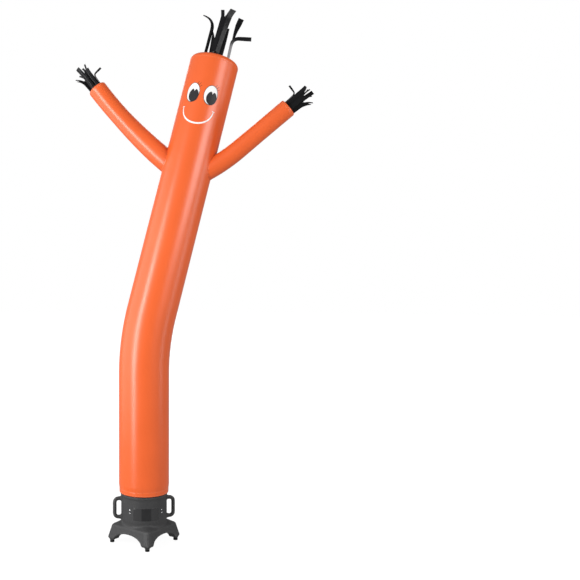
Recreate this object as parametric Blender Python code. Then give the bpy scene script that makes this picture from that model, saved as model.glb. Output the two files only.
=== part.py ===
"""An inflatable air dancer, standing on the fan blower that fills it.

The dancer is a nylon tube with a hem that grips the blower's outlet, a crown panel with a vent,
two sewn-on arms, face patches, hair ribbons and hand streamers.  The blower is one moulded drum
on a four-legged base, with a hook band, a blank label plate, rivets, an outlet guard and feet.
Metres, +Z up.  The dancer faces -Y.  The origin is under the middle of the whole object's box.
"""

import math

import bmesh
import bpy
import numpy as np
from mathutils import Vector

# ---------------------------------------------------------------- driving sizes, in metres
CLEARANCE = 0.0003           # air between pieces that touch in the real object
FACET_SLACK = 0.0001         # more of it over the tube, whose facets and patches don't line up

# blower
FOOT_RADIUS = 0.0137
FOOT_HEIGHT = 0.0105
FOOT_CIRCLE = 0.1944         # from the blower's axis to each foot's centre
LEG_BOTTOM_Z = 0.0215
LEG_CHAMFER_Z = 0.0315
LEG_REACH = 0.2214           # from the axis to a leg's outer corner, at its widest
LEG_CHAMFER = 0.010
SHOULDER_Z = 0.1107
SHOULDER_REACH = 0.1953
SHOULDER_EDGE = 0.008
DRUM_FOOT_Z = 0.1317
CORNER_RADIUS = 0.020        # of the base's square plan
ARCH_HALF_WIDTH = 0.108
ARCH_TOP_Z = 0.072
DRUM_RADIUS = 0.1395
DUCT_RADIUS = 0.1265
BELLMOUTH = 0.010            # how far the duct's lower end opens out
RIB_HEIGHTS = (0.292, 0.334)
RIB_RADIUS = 0.1435
RIB_HALF_HEIGHT = 0.006
RIM_TOP_Z = 0.3500
RIM_INNER_RADIUS = 0.1310
GUARD_SEAT_Z = 0.3365
NOTCH_ANGLES = (-15, 44, 165, 224)   # degrees from -Y towards +X
NOTCH_WIDTH = 0.011
NOTCH_DEPTH = 0.0085
GRIP_RADIUS = 0.0117
GRIP_FLARE = 0.0075          # how much the grip thickens where it joins the drum
HANDLE_REACH = 0.1910
HANDLE_TOP_Z = 0.2766
HANDLE_BOTTOM_Z = 0.1410
HANDLE_CORNER = 0.022

# small parts on the blower
BAND_Z = (0.3000, 0.3265)
BAND_THICKNESS = 0.0022
LABEL_Z = (0.1613, 0.2331)
LABEL_HALF_ANGLE = 32.7
LABEL_THICKNESS = 0.0012
RIVET_RADIUS = 0.0043
RIVET_DOME = 0.0024
RIVET_ANGLES = (-43.4, 43.4)
RIVET_HEIGHTS = (0.2006, 0.2183)
GUARD_WIRE = 0.0036
GUARD_RINGS = (0.040, 0.070, 0.100, 0.1285)
BOLT_RADIUS = 0.0042
BOLT_LENGTH = 0.011

# tube
TUBE_RADIUS = 0.1525
CLOTH = 0.0015
HEM_Z = 0.3060
HEM_CLOTH = 0.0026
HEM_RADIUS = 0.1492
HEM_DEPTH = 0.028
UPRIGHT_RUN = 0.7210         # from the hem to the start of the sway
SWAY_BEND = 0.375
SWAY_RUN = 1.622
SWAY_TILT = 15.2             # degrees from upright
SWAY_AZIMUTH = 14.9          # degrees from +X towards +Y
SHOULDER_ROUND = 0.028
CROWN_RISE = 0.002
VENT_RADIUS = 0.050
DANCER_TURN = -18.0          # degrees; the dancer looks a little towards -X

# arms: one row each
ARM_ROUND = 0.010
SEAM_LIP = 0.002             # how far the tube's cloth reaches inside an arm's root
HAND_VENT = 0.014
HAND_RISE = 0.001
ARM_COLUMNS = (
    "name", "azimuth", "below_crown", "tilt_from", "tilt_to", "first_run", "bend", "length", "root_radius", "end_radius",
)
ARM_ROWS = (
    ("arm_left", 180.0, 0.760, 49.5, 38.0, 0.150, 0.630, 0.812, 0.0690, 0.0600),
    ("arm_right", 0.0, 0.807, 61.0, 51.0, 0.200, 0.200, 0.782, 0.0590, 0.0555),
)

# face, on the tube's front, measured along the cloth
EYE_BELOW_CROWN = 0.268
EYE_SPREAD = 0.0570
EYE_SIZE = (0.0430, 0.0650)
PUPIL_SIZE = (0.0320, 0.0420)
PUPIL_SHIFT = (0.0085, -0.0175)
SMILE_BELOW_CROWN = 0.366
SMILE_HALF_WIDTH = 0.0985
SMILE_DROP = 0.094
SMILE_STROKE = 0.0105
PATCH = 0.0010

# ribbons: each leaves its panel upright over a first share of its length
ROOT_SHARE = 0.12
# sizes in metres, angles in degrees; side and depth place the root across the crown
RIBBON = 0.0012
RIBBON_COLUMNS = ("side", "depth", "width", "length", "lean", "towards", "curl", "onset", "span", "roll", "twist")
HAIR_ROWS = (
    (-0.064, -0.036, 0.030, 0.300, -1.0, 192.0, 80.0, 0.56, 0.44, 64.0, -12.0),
    (-0.002, -0.066, 0.068, 0.340, -4.0, 192.0, 1.0, 0.50, 0.50, -84.0, 4.0),
    (0.020, -0.050, 0.046, 0.225, 2.0, 22.0, 3.0, 0.55, 0.40, -70.0, 10.0),
    (0.004, 0.064, 0.042, 0.250, 1.0, 12.0, 3.0, 0.40, 0.60, -88.0, 8.0),
    (0.078, -0.006, 0.025, 0.262, 1.0, 192.0, -80.0, 0.42, 0.32, 58.0, 14.0),
    (0.062, 0.046, 0.036, 0.322, 3.0, 22.0, 8.0, 0.50, 0.50, 4.0, -84.0),
    (-0.046, 0.048, 0.026, 0.225, 5.0, 150.0, 18.0, 0.50, 0.50, 50.0, 24.0),
)
STREAMER_ROWS = (
    (-0.012, -0.032, 0.029, 0.166, 1.0, 180.0, 6.0, 0.50, 0.50, -80.0, 12.0),
    (0.014, -0.023, 0.030, 0.160, 0.0, 10.0, 6.0, 0.50, 0.50, -70.0, 10.0),
    (0.018, 0.018, 0.028, 0.150, 1.0, 30.0, 10.0, 0.50, 0.50, -60.0, 20.0),
    (-0.012, 0.030, 0.030, 0.156, 2.0, 176.0, 10.0, 0.50, 0.50, -84.0, -8.0),
    (-0.030, -0.002, 0.026, 0.150, 3.0, 182.0, 24.0, 0.45, 0.55, 62.0, 16.0),
    (-0.036, -0.016, 0.022, 0.122, 4.0, 184.0, 46.0, 0.35, 0.65, 68.0, -12.0),
    (0.036, 0.000, 0.013, 0.132, 2.0, 0.0, 84.0, 0.44, 0.26, 58.0, 10.0),
)

# facets
DRUM_SIDES = 64
TUBE_SIDES = 40
ARM_SIDES = 20
RIBBON_STATIONS = 9

COLOURS = {
    # name: (colour, roughness, metallic)
    "tube_nylon": ((0.86, 0.17, 0.05, 1.0), 0.45, 0.0),
    "ribbon_black": ((0.012, 0.012, 0.014, 1.0), 0.35, 0.0),
    "patch_white": ((0.85, 0.85, 0.85, 1.0), 0.5, 0.0),
    "patch_black": ((0.02, 0.02, 0.022, 1.0), 0.5, 0.0),
    "moulded_grey": ((0.068, 0.068, 0.070, 1.0), 0.55, 0.0),
    "hook_tape": ((0.016, 0.016, 0.019, 1.0), 0.85, 0.0),
    "gloss_plate": ((0.012, 0.012, 0.013, 1.0), 0.15, 0.0),
    "bright_steel": ((0.75, 0.75, 0.76, 1.0), 0.25, 1.0),
    "foot_rubber": ((0.006, 0.006, 0.006, 1.0), 0.7, 0.0),
}


# ---------------------------------------------------------------- scene helpers
def clear_scene():
    for item in list(bpy.data.objects):
        bpy.data.objects.remove(item, do_unlink=True)


def make_material(name):
    colour, roughness, metallic = COLOURS[name]
    material = bpy.data.materials.new(name)
    material.use_nodes = True
    shader = material.node_tree.nodes["Principled BSDF"]
    shader.inputs["Base Color"].default_value = colour
    shader.inputs["Roughness"].default_value = roughness
    shader.inputs["Metallic"].default_value = metallic
    return material


def add_mesh(name, points, faces, material=None, parent=None):
    """A closed, smooth-shaded mesh object with its faces outwards; without a material it is a hidden helper."""
    mesh = bpy.data.meshes.new(name)
    mesh.from_pydata([tuple(p) for p in points], [], faces)
    shape = bmesh.new()
    shape.from_mesh(mesh)
    bmesh.ops.recalc_face_normals(shape, faces=shape.faces)
    if shape.calc_volume(signed=True) < 0.0:
        bmesh.ops.reverse_faces(shape, faces=shape.faces)
    shape.to_mesh(mesh)
    shape.free()
    mesh.shade_smooth()
    mesh.set_sharp_from_angle(angle=math.radians(35))
    item = bpy.data.objects.new(name, mesh)
    bpy.context.scene.collection.objects.link(item)
    item.parent = parent
    if material is None:
        item.hide_render = True
        item.display_type = "WIRE"
    else:
        mesh.materials.append(material)
    return item


def add_boolean(item, other, operation):
    modifier = item.modifiers.new(operation.title() + " " + other.name, "BOOLEAN")
    modifier.operation = operation
    modifier.solver = "EXACT"
    modifier.object = other


# ---------------------------------------------------------------- surfaces from rings of points
def ring_faces(rings, closed):
    """Quads between neighbouring rings; closed joins the last ring to the first, else both ends are capped."""
    count, sides = len(rings), len(rings[0])
    faces = []
    for i in range(count if closed else count - 1):
        a, b = i * sides, (i + 1) % count * sides
        for j in range(sides):
            k = (j + 1) % sides
            faces.append((a + j, a + k, b + k, b + j))
    if not closed:
        faces.append(tuple(reversed(range(sides))))
        faces.append(tuple(range((count - 1) * sides, count * sides)))
    return faces


def swept(rings, closed=False):
    rings = np.asarray(rings, float)
    return rings.reshape(-1, 3), ring_faces(rings, closed)


def split_alike(rings):
    """A swept strip of four-cornered rings whose two broad faces are cut along the same diagonals.

    A wound strip is thinner than the bulge of its bent quads, so unlike diagonals would cross.
    """
    points, faces = swept(rings)
    cut = []
    for i in range(len(rings) - 1):
        a, b = 4 * i, 4 * i + 4
        cut += [(a + 1, a + 2, b + 2), (a + 1, b + 2, b + 1), (a + 3, a, b + 3), (a, b, b + 3)]
        cut += [faces[a], faces[a + 2]]
    return points, cut + faces[-2:]


def joined(shapes):
    """Several (points, faces) shapes that don't meet, as one."""
    points, faces, start = [], [], 0
    for own_points, own_faces in shapes:
        points.extend(own_points)
        faces.extend(tuple(start + index for index in face) for face in own_faces)
        start += len(own_points)
    return points, faces


def from_front(angle):
    """Unit vector in plan at an angle in degrees from -Y towards +X."""
    turn = math.radians(angle)
    return np.array([math.sin(turn), -math.cos(turn), 0.0])


def rod(start, end, radius_start, radius_end, sides=10):
    """A straight round bar between two points."""
    start, end = np.asarray(start, float), np.asarray(end, float)
    along = (end - start) / np.linalg.norm(end - start)
    side = np.cross(along, [0.0, 0.0, 1.0])
    if np.linalg.norm(side) < 0.1:
        side = np.array([1.0, 0.0, 0.0])
    side /= np.linalg.norm(side)
    other = np.cross(along, side)
    turns = (np.arange(sides) + 0.35) * math.tau / sides
    circle = np.outer(np.cos(turns), side) + np.outer(np.sin(turns), other)
    return swept([start + radius_start * circle, end + radius_end * circle])


# ---------------------------------------------------------------- centrelines
class Spine:
    """A centreline in one upright plane: a straight run, an arc, then a straight run."""

    def __init__(self, start, azimuth, tilt_from, tilt_to, first_run, bend, last_run):
        self.start = np.asarray(start, float)
        self.azimuth = math.radians(azimuth)
        self.tilts = math.radians(tilt_from), math.radians(tilt_to)
        self.first_run, self.bend = first_run, bend
        self.length = first_run + bend + last_run
        self.outward = np.array([math.cos(self.azimuth), math.sin(self.azimuth), 0.0])
        self.across = np.array([-math.sin(self.azimuth), math.cos(self.azimuth), 0.0])

    def at(self, s):
        """The point at distance s, and the directions along the spine and away from upright."""
        low, high = self.tilts
        up = np.array([0.0, 0.0, 1.0])
        into_bend = min(max(s - self.first_run, 0.0), self.bend)
        past_bend = max(s - self.first_run - self.bend, 0.0)
        tilt = low + (high - low) * into_bend / self.bend
        radius = self.bend / (high - low)
        point = self.start + min(s, self.first_run) * (math.sin(low) * self.outward + math.cos(low) * up)
        point = point + radius * (math.cos(low) - math.cos(tilt)) * self.outward
        point = point + radius * (math.sin(tilt) - math.sin(low)) * up
        along = math.sin(tilt) * self.outward + math.cos(tilt) * up
        away = math.cos(tilt) * self.outward - math.sin(tilt) * up
        return point + past_bend * along, along, away

    def place(self, s, angle, radius):
        """The point off the spine at a distance s; the angle is in degrees from +X before the sway."""
        point, _, away = self.at(s)
        turn = math.radians(angle) - self.azimuth
        return point + radius * (math.cos(turn) * away + math.sin(turn) * self.across)

    def ring(self, s, radius, sides):
        return [self.place(s, 360.0 * j / sides, radius) for j in range(sides)]

    def axes(self, s, angle):
        """Origin and the side, depth and up directions at s, for what is sewn on there; side is at the angle."""
        origin, along, _ = self.at(s)
        side = self.place(s, angle, 1.0) - origin
        depth = self.place(s, angle + 90.0, 1.0) - origin
        return origin, side, depth, along


def round_over(length, radius, rounding, steps=4):
    """Profile rows (s, r) of a rounded shoulder that turns from a tube's wall to its end panel."""
    rows = []
    for i in range(steps + 1):
        turn = math.radians(90.0 * i / steps)
        rows.append((length - rounding + rounding * math.sin(turn), radius - rounding + rounding * math.cos(turn)))
    return rows


# ---------------------------------------------------------------- the tube and its arms
def tube_profile(spine):
    """Closed profile of the tube's cloth: up its outside, over the crown to the vent, and back inside."""
    runs = np.concatenate([
        np.linspace(0.10, UPRIGHT_RUN, 3),
        np.linspace(UPRIGHT_RUN, UPRIGHT_RUN + SWAY_BEND, 5)[1:],
        np.linspace(UPRIGHT_RUN + SWAY_BEND, spine.length - SHOULDER_ROUND, 7)[1:-1],
    ])
    outside = [(0.0, HEM_RADIUS), (HEM_DEPTH, HEM_RADIUS + 0.0005), (HEM_DEPTH + 0.022, TUBE_RADIUS)]
    outside += [(s, TUBE_RADIUS) for s in runs]
    outside += round_over(spine.length, TUBE_RADIUS, SHOULDER_ROUND)
    outside += [(spine.length + CROWN_RISE, VENT_RADIUS)]
    inside = [(spine.length + CROWN_RISE - CLOTH, VENT_RADIUS)]
    inside += reversed(round_over(spine.length - CLOTH, TUBE_RADIUS - CLOTH, SHOULDER_ROUND - CLOTH))
    inside += [(s, TUBE_RADIUS - CLOTH) for s in reversed(runs)]
    inside += [(HEM_DEPTH + 0.024, TUBE_RADIUS - CLOTH)]
    inside += [(HEM_DEPTH + 0.002, HEM_RADIUS + 0.0005 - HEM_CLOTH), (0.0, HEM_RADIUS - HEM_CLOTH)]
    return outside + inside


def arm_profile(spine, root_radius, end_radius):
    """Closed profile of an arm's cloth, from inside the tube to the hand's end panel and back."""
    stations = np.linspace(0.0, spine.length - ARM_ROUND, 9)
    radii = np.interp(stations, [0.3 * spine.length, 0.7 * spine.length], [root_radius, end_radius])
    outside = list(zip(stations[:-1], radii[:-1]))
    outside += round_over(spine.length, end_radius, ARM_ROUND, 3)
    outside += [(spine.length + HAND_RISE, HAND_VENT)]
    inside = [(spine.length + HAND_RISE - CLOTH, HAND_VENT)]
    inside += reversed(round_over(spine.length - CLOTH, end_radius - CLOTH, ARM_ROUND - CLOTH, 3))
    inside += [(s, r - CLOTH) for s, r in reversed(outside[:8])]
    return outside + inside


def build_dancer(root, materials):
    nylon = materials["tube_nylon"]
    spine = Spine((0.0, 0.0, HEM_Z), SWAY_AZIMUTH, 0.0, SWAY_TILT, UPRIGHT_RUN, SWAY_BEND, SWAY_RUN)
    rings = [spine.ring(s, r, TUBE_SIDES) for s, r in tube_profile(spine)]
    torso = add_mesh("torso", *swept(rings, closed=True), nylon, root)
    stretch = [s for s, r in tube_profile(spine) if r == TUBE_RADIUS and s > 1.0]
    envelope = add_mesh(
        "guide_tube_envelope",
        *swept([spine.ring(s, TUBE_RADIUS + CLEARANCE + FACET_SLACK, TUBE_SIDES) for s in stretch[:-1]]),
        parent=root,
    )
    axes = spine.axes(spine.length, DANCER_TURN)
    add_ribbons("hair", axes, HAIR_ROWS, CROWN_RISE + CLEARANCE, materials["ribbon_black"], root)
    for row in ARM_ROWS:
        build_arm(dict(zip(ARM_COLUMNS, row)), spine, torso, envelope, materials, root)
    build_face(spine, materials, root)


def build_arm(arm, tube, torso, envelope, materials, root):
    """A sewn-on arm.  Its root is cut to the tube's outside, and the tube has a hole of its bore there."""
    start, _, _ = tube.at(tube.length - arm["below_crown"])
    last_run = arm["length"] - arm["first_run"] - arm["bend"]
    azimuth = arm["azimuth"] + DANCER_TURN
    spine = Spine(start, azimuth, arm["tilt_from"], arm["tilt_to"], arm["first_run"], arm["bend"], last_run)
    profile = arm_profile(spine, arm["root_radius"], arm["end_radius"])
    sleeve = add_mesh(
        arm["name"],
        *swept([spine.ring(s, r, ARM_SIDES) for s, r in profile], closed=True),
        materials["tube_nylon"],
        root,
    )
    add_boolean(sleeve, envelope, "DIFFERENCE")
    bore = arm["root_radius"] - CLOTH - SEAM_LIP
    cutter = add_mesh(
        "cutter_" + arm["name"],
        *swept([spine.ring(s, bore, ARM_SIDES) for s in (0.02, arm["first_run"] + 0.05)]),
        parent=root,
    )
    add_boolean(torso, cutter, "DIFFERENCE")
    axes = spine.axes(spine.length, 180.0 + azimuth)
    streamers = arm["name"].replace("arm", "streamer")
    add_ribbons(streamers, axes, STREAMER_ROWS, HAND_RISE + CLEARANCE, materials["ribbon_black"], root)


# ---------------------------------------------------------------- ribbons
def ribbon_shape(axes, row, lift):
    """A flat strip that leans and then curls over; roll turns its face and twist winds it along its length."""
    origin, side, depth, up = axes
    part = dict(zip(RIBBON_COLUMNS, row))
    heading = math.radians(part["towards"])
    out = math.cos(heading) * side + math.sin(heading) * depth
    flat = np.cross(up, out)
    point = origin + part["side"] * side + part["depth"] * depth + lift * up
    step = part["length"] / (RIBBON_STATIONS - 1)
    rings = []
    for i in range(RIBBON_STATIONS):
        t = i / (RIBBON_STATIONS - 1)
        bent = min(max(t - part["onset"], 0.0) / part["span"], 1.0)
        lean = math.radians(part["lean"] * min(t / ROOT_SHARE, 1.0) + part["curl"] * bent * bent * (3.0 - 2.0 * bent))
        along = math.sin(lean) * out + math.cos(lean) * up
        inner = np.cross(flat, along)
        roll = math.radians(part["roll"] + part["twist"] * t)
        wide = 0.5 * part["width"] * (math.cos(roll) * flat + math.sin(roll) * inner)
        thick = 0.5 * RIBBON * (math.cos(roll) * inner - math.sin(roll) * flat)
        rings.append([point - wide - thick, point - wide + thick, point + wide + thick, point + wide - thick])
        point = point + step * along
    return split_alike(rings)


def add_ribbons(name, axes, rows, lift, material, root):
    for number, row in enumerate(rows, 1):
        add_mesh(f"{name}_{number}", *ribbon_shape(axes, row, lift), material, root)


# ---------------------------------------------------------------- face
def patch_shape(place, outline, layer, rings=3):
    """A thin patch of cloth: the outline shrunk towards its middle in rings, on two radii, joined at its edge.

    place(x, y, radius) puts a point measured along the cloth onto the tube.
    """
    outline = np.asarray(outline, float)
    centre = outline.mean(axis=0)
    count = len(outline)
    inner = TUBE_RADIUS + CLEARANCE + FACET_SLACK + layer * (PATCH + CLEARANCE)
    points, faces = [], []
    for radius in (inner + PATCH, inner):
        for k in range(rings, 0, -1):
            points += [place(x, y, radius) for x, y in centre + (outline - centre) * k / rings]
        points.append(place(*centre, radius))
    sheet = rings * count + 1
    for j in range(count):
        k = (j + 1) % count
        for side, turned in ((0, False), (sheet, True)):
            own = [(side + a * count + j, side + a * count + k, side + (a + 1) * count + k, side + (a + 1) * count + j)
                   for a in range(rings - 1)]
            own.append((side + (rings - 1) * count + j, side + (rings - 1) * count + k, side + sheet - 1))
            faces += [tuple(reversed(face)) if turned else face for face in own]
        faces.append((j, sheet + j, sheet + k, k))
    return points, faces


def ellipse(centre, size, sides=24):
    turns = np.arange(sides) * math.tau / sides
    return np.stack([centre[0] + size[0] * np.cos(turns), centre[1] + size[1] * np.sin(turns)], 1)


def notched_ellipse(centre, size, sides=28):
    """A pupil: an ellipse with a narrow bite at its top, where the white shows."""
    outline = ellipse((0.0, 0.0), size, sides)
    turns = np.arange(sides) * math.tau / sides
    outline *= (1.0 - 0.42 * np.exp(-(((turns - math.radians(88)) / math.radians(11)) ** 2)))[:, None]
    return outline + np.asarray(centre)


def smile_outline(steps=16):
    """A crescent stroke: half an ellipse of centreline, thickest at its middle."""
    turns = np.radians(np.linspace(-88.0, 88.0, steps + 1))
    line = np.stack([SMILE_HALF_WIDTH * np.sin(turns), -SMILE_DROP * np.cos(turns)], 1)
    normal = np.stack([np.sin(turns), -np.cos(turns)], 1)
    half = SMILE_STROKE * (0.28 + 0.22 * np.cos(turns))[:, None]
    return line, normal, half


def smile_shape(place):
    line, normal, half = smile_outline()
    low = TUBE_RADIUS + CLEARANCE + FACET_SLACK
    rings = []
    for centre, out, width in zip(line, normal, half):
        far, near = centre + out * width, centre - out * width
        rings.append([place(*near, low), place(*near, low + PATCH), place(*far, low + PATCH), place(*far, low)])
    return swept(rings)


def build_face(spine, materials, root):
    white, black = materials["patch_white"], materials["patch_black"]

    def placer(below_crown, across):
        def place(x, y, radius):
            angle = -90.0 + DANCER_TURN + math.degrees((across + x) / TUBE_RADIUS)
            return spine.place(spine.length - below_crown + y, angle, radius)
        return place

    for side, across in (("left", -EYE_SPREAD), ("right", EYE_SPREAD)):
        place = placer(EYE_BELOW_CROWN, across)
        add_mesh("eye_white_" + side, *patch_shape(place, ellipse((0.0, 0.0), EYE_SIZE), 0), white, root)
        add_mesh("pupil_" + side, *patch_shape(place, notched_ellipse(PUPIL_SHIFT, PUPIL_SIZE), 1), black, root)
    add_mesh("smile", *smile_shape(placer(SMILE_BELOW_CROWN, 0.0)), white, root)


# ---------------------------------------------------------------- blower housing
def square_radius(angle, reach):
    """Radius of a square with rounded corners on the X and Y axes, at an angle in radians."""
    from_corner = (angle + math.pi / 4) % (math.pi / 2) - math.pi / 4
    middle = reach - CORNER_RADIUS
    half_side = middle / math.sqrt(2) + CORNER_RADIUS
    flat = half_side / math.cos(math.pi / 4 - abs(from_corner))
    inside = CORNER_RADIUS**2 - (middle * math.sin(from_corner)) ** 2
    if inside < 0.0:
        return flat
    rounded = middle * math.cos(from_corner) + math.sqrt(inside)
    on_arc = rounded * math.sin(abs(from_corner)) <= CORNER_RADIUS / math.sqrt(2)
    return rounded if on_arc else flat


def soft_max(a, b, blend=0.006):
    """The larger of two radii, with a fillet where they are alike."""
    return 0.5 * (a + b + math.sqrt((a - b) ** 2 + blend**2))


def base_rows():
    """(z, reach) of the base's square plan, from the leg bottoms up to where it vanishes in the drum."""
    return [
        (LEG_BOTTOM_Z, LEG_REACH - LEG_CHAMFER),
        (LEG_CHAMFER_Z - 0.004, LEG_REACH - 0.003),
        (LEG_CHAMFER_Z, LEG_REACH),
        (0.6 * LEG_CHAMFER_Z + 0.4 * SHOULDER_Z, 0.6 * LEG_REACH + 0.4 * SHOULDER_REACH),
        (SHOULDER_Z - SHOULDER_EDGE, SHOULDER_REACH + 0.002),
        (SHOULDER_Z - 0.3 * SHOULDER_EDGE, SHOULDER_REACH - 0.001),
        (SHOULDER_Z + 0.0005, SHOULDER_REACH - SHOULDER_EDGE),
        (0.5 * (SHOULDER_Z + DRUM_FOOT_Z), 0.5 * (SHOULDER_REACH + DRUM_RADIUS) - 0.004),
        (DRUM_FOOT_Z - 0.003, DRUM_RADIUS),
        (DRUM_FOOT_Z + 0.006, DRUM_RADIUS - 0.012),
    ]


def rib_rows():
    """(z, r) of the round ribs, as shallow bumps on the drum."""
    rows = []
    for height in RIB_HEIGHTS:
        for step in (-1.0, -0.6, 0.0, 0.6, 1.0):
            bump = 0.5 + 0.5 * math.cos(math.pi * step)
            rows.append((height + step * RIB_HALF_HEIGHT, DRUM_RADIUS + (RIB_RADIUS - DRUM_RADIUS) * bump))
    return rows


def housing_ring(z, radius_at):
    rim = []
    for j in range(DRUM_SIDES):
        angle = math.tau * j / DRUM_SIDES
        radius = radius_at(angle)
        rim.append((radius * math.cos(angle), radius * math.sin(angle), z))
    return rim


def housing_body():
    """Drum and base as one closed skin: up the outside, over the rim, and down the duct."""
    rings = [
        housing_ring(z, lambda angle, reach=reach: soft_max(square_radius(angle, reach), DRUM_RADIUS - 0.0015))
        for z, reach in base_rows()
    ]
    turned = [(DRUM_FOOT_Z + 0.016, DRUM_RADIUS)] + rib_rows()
    turned += [(RIM_TOP_Z - 0.002, DRUM_RADIUS + 0.0005), (RIM_TOP_Z, DRUM_RADIUS - 0.0015)]
    turned += [(RIM_TOP_Z, RIM_INNER_RADIUS), (GUARD_SEAT_Z, RIM_INNER_RADIUS), (GUARD_SEAT_Z, DUCT_RADIUS)]
    turned += [(ARCH_TOP_Z + 0.020, DUCT_RADIUS), (LEG_BOTTOM_Z, DUCT_RADIUS + BELLMOUTH)]
    rings += [housing_ring(z, lambda angle, radius=radius: radius) for z, radius in turned]
    return swept(rings, closed=True)


def arch_cutter(turn, steps=14):
    """A long vault with a half-ellipse section, laid under the base at an angle in degrees."""
    along, across = from_front(turn), from_front(turn + 90.0)
    height = ARCH_TOP_Z - LEG_BOTTOM_Z
    section = [(-ARCH_HALF_WIDTH, -0.02)]
    for i in range(steps + 1):
        swing = math.pi * i / steps
        section.append((-ARCH_HALF_WIDTH * math.cos(swing), height * math.sin(swing)))
    section.append((ARCH_HALF_WIDTH, -0.02))
    rings = []
    for end in (-0.3, 0.3):
        rings.append([end * along + t * across + np.array([0.0, 0.0, LEG_BOTTOM_Z + h]) for t, h in section])
    return swept(rings)


def notch_cutter(turn):
    """A block across the rim at an angle in degrees, with the notch's width and depth."""
    out, across = from_front(turn), from_front(turn + 90.0)
    rings = []
    for radius in (RIM_INNER_RADIUS - 0.004, DRUM_RADIUS + 0.008):
        corners = ((-1, 0.0), (1, 0.0), (1, 1.0), (-1, 1.0))
        rings.append([
            radius * out + 0.5 * NOTCH_WIDTH * w * across
            + np.array([0.0, 0.0, RIM_TOP_Z - NOTCH_DEPTH + h * (NOTCH_DEPTH + 0.01)])
            for w, h in corners
        ])
    return swept(rings)


def handle_line():
    """(reach, z, radius) along a D-handle: out of the drum, round two corners, and back in."""
    grip = HANDLE_REACH - GRIP_RADIUS
    top, bottom = HANDLE_TOP_Z - GRIP_RADIUS, HANDLE_BOTTOM_Z + GRIP_RADIUS
    wall = DRUM_RADIUS - 0.006
    line = [(wall, top, GRIP_RADIUS + GRIP_FLARE), (wall + 0.010, top, GRIP_RADIUS + 0.3 * GRIP_FLARE)]
    for corner_z, start in ((top - HANDLE_CORNER, 90.0), (bottom + HANDLE_CORNER, 0.0)):
        for i in range(5):
            swing = math.radians(start - 22.5 * i)
            reach = grip - HANDLE_CORNER + HANDLE_CORNER * math.cos(swing)
            line.append((reach, corner_z + HANDLE_CORNER * math.sin(swing), GRIP_RADIUS))
    line += [(wall + 0.010, bottom, GRIP_RADIUS + 0.3 * GRIP_FLARE), (wall, bottom, GRIP_RADIUS + GRIP_FLARE)]
    return line


def handle_shape(side, sides=12):
    """A D-handle's grip in the XZ plane; side is 1 or -1."""
    line = handle_line()
    points = np.array([(side * reach, 0.0, z) for reach, z, _ in line])
    along = np.gradient(points, axis=0)
    along[0] = (side, 0.0, 0.0)
    along[-1] = (-side, 0.0, 0.0)
    along /= np.linalg.norm(along, axis=1)[:, None]
    across = np.array([0.0, 1.0, 0.0])
    turns = np.arange(sides) * math.tau / sides
    rings = []
    for point, forward, (_, _, radius) in zip(points, along, line):
        outward = np.cross(across, forward)
        rings.append([point + radius * (math.cos(t) * across - math.sin(t) * outward) for t in turns])
    return swept(rings)


def collar_shape(turn):
    centre = FOOT_CIRCLE * from_front(turn)
    bottom = centre + np.array([0.0, 0.0, FOOT_HEIGHT + CLEARANCE])
    top = centre + np.array([0.0, 0.0, LEG_BOTTOM_Z + 0.007])
    return rod(bottom, top, FOOT_RADIUS + 0.0003, FOOT_RADIUS + 0.0035, 20)


def build_housing(root, materials):
    housing = add_mesh("blower_housing", *housing_body(), materials["moulded_grey"], root)
    quarter_turns = (0, 90, 180, 270)
    for number, turn in enumerate((45, 135), 1):
        add_boolean(housing, add_mesh(f"cutter_arch_{number}", *arch_cutter(turn), parent=root), "DIFFERENCE")
    notches = add_mesh("cutter_notches", *joined([notch_cutter(turn) for turn in NOTCH_ANGLES]), parent=root)
    add_boolean(housing, notches, "DIFFERENCE")
    collars = add_mesh("guide_collars", *joined([collar_shape(turn) for turn in quarter_turns]), parent=root)
    add_boolean(housing, collars, "UNION")
    handles = add_mesh("guide_handles", *joined([handle_shape(side) for side in (1, -1)]), parent=root)
    add_boolean(housing, handles, "UNION")
    for number, turn in enumerate(quarter_turns, 1):
        centre = FOOT_CIRCLE * from_front(turn)
        top = centre + np.array([0.0, 0.0, FOOT_HEIGHT])
        shape = rod(centre, top, FOOT_RADIUS, FOOT_RADIUS, 20)
        add_mesh(f"foot_{number}", *shape, materials["foot_rubber"], root)


# ---------------------------------------------------------------- small parts on the blower
def wrapped_plate(inner, outer, low, high, first, last, steps):
    """A curved plate between two radii and two heights, from one angle to another in degrees."""
    rings = []
    for angle in np.linspace(first, last, steps + 1):
        out = from_front(angle)
        corners = ((inner, low), (outer, low), (outer, high), (inner, high))
        rings.append([radius * out + np.array([0.0, 0.0, z]) for radius, z in corners])
    return rings


def build_trim(root, materials):
    skin = DRUM_RADIUS + CLEARANCE
    band = wrapped_plate(skin, skin + BAND_THICKNESS, *BAND_Z, 0.0, 360.0, 48)[:-1]
    add_mesh("hook_band", *swept(band, closed=True), materials["hook_tape"], root)
    label = wrapped_plate(skin, skin + LABEL_THICKNESS, *LABEL_Z, -LABEL_HALF_ANGLE, LABEL_HALF_ANGLE, 14)
    add_mesh("label_plate", *swept(label), materials["gloss_plate"], root)
    number = 0
    for angle in RIVET_ANGLES:
        for height in RIVET_HEIGHTS:
            number += 1
            out = from_front(angle)
            foot = skin * out + np.array([0.0, 0.0, height])
            shape = rivet_shape(foot, out)
            add_mesh(f"rivet_{number}", *shape, materials["bright_steel"], root)


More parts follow.
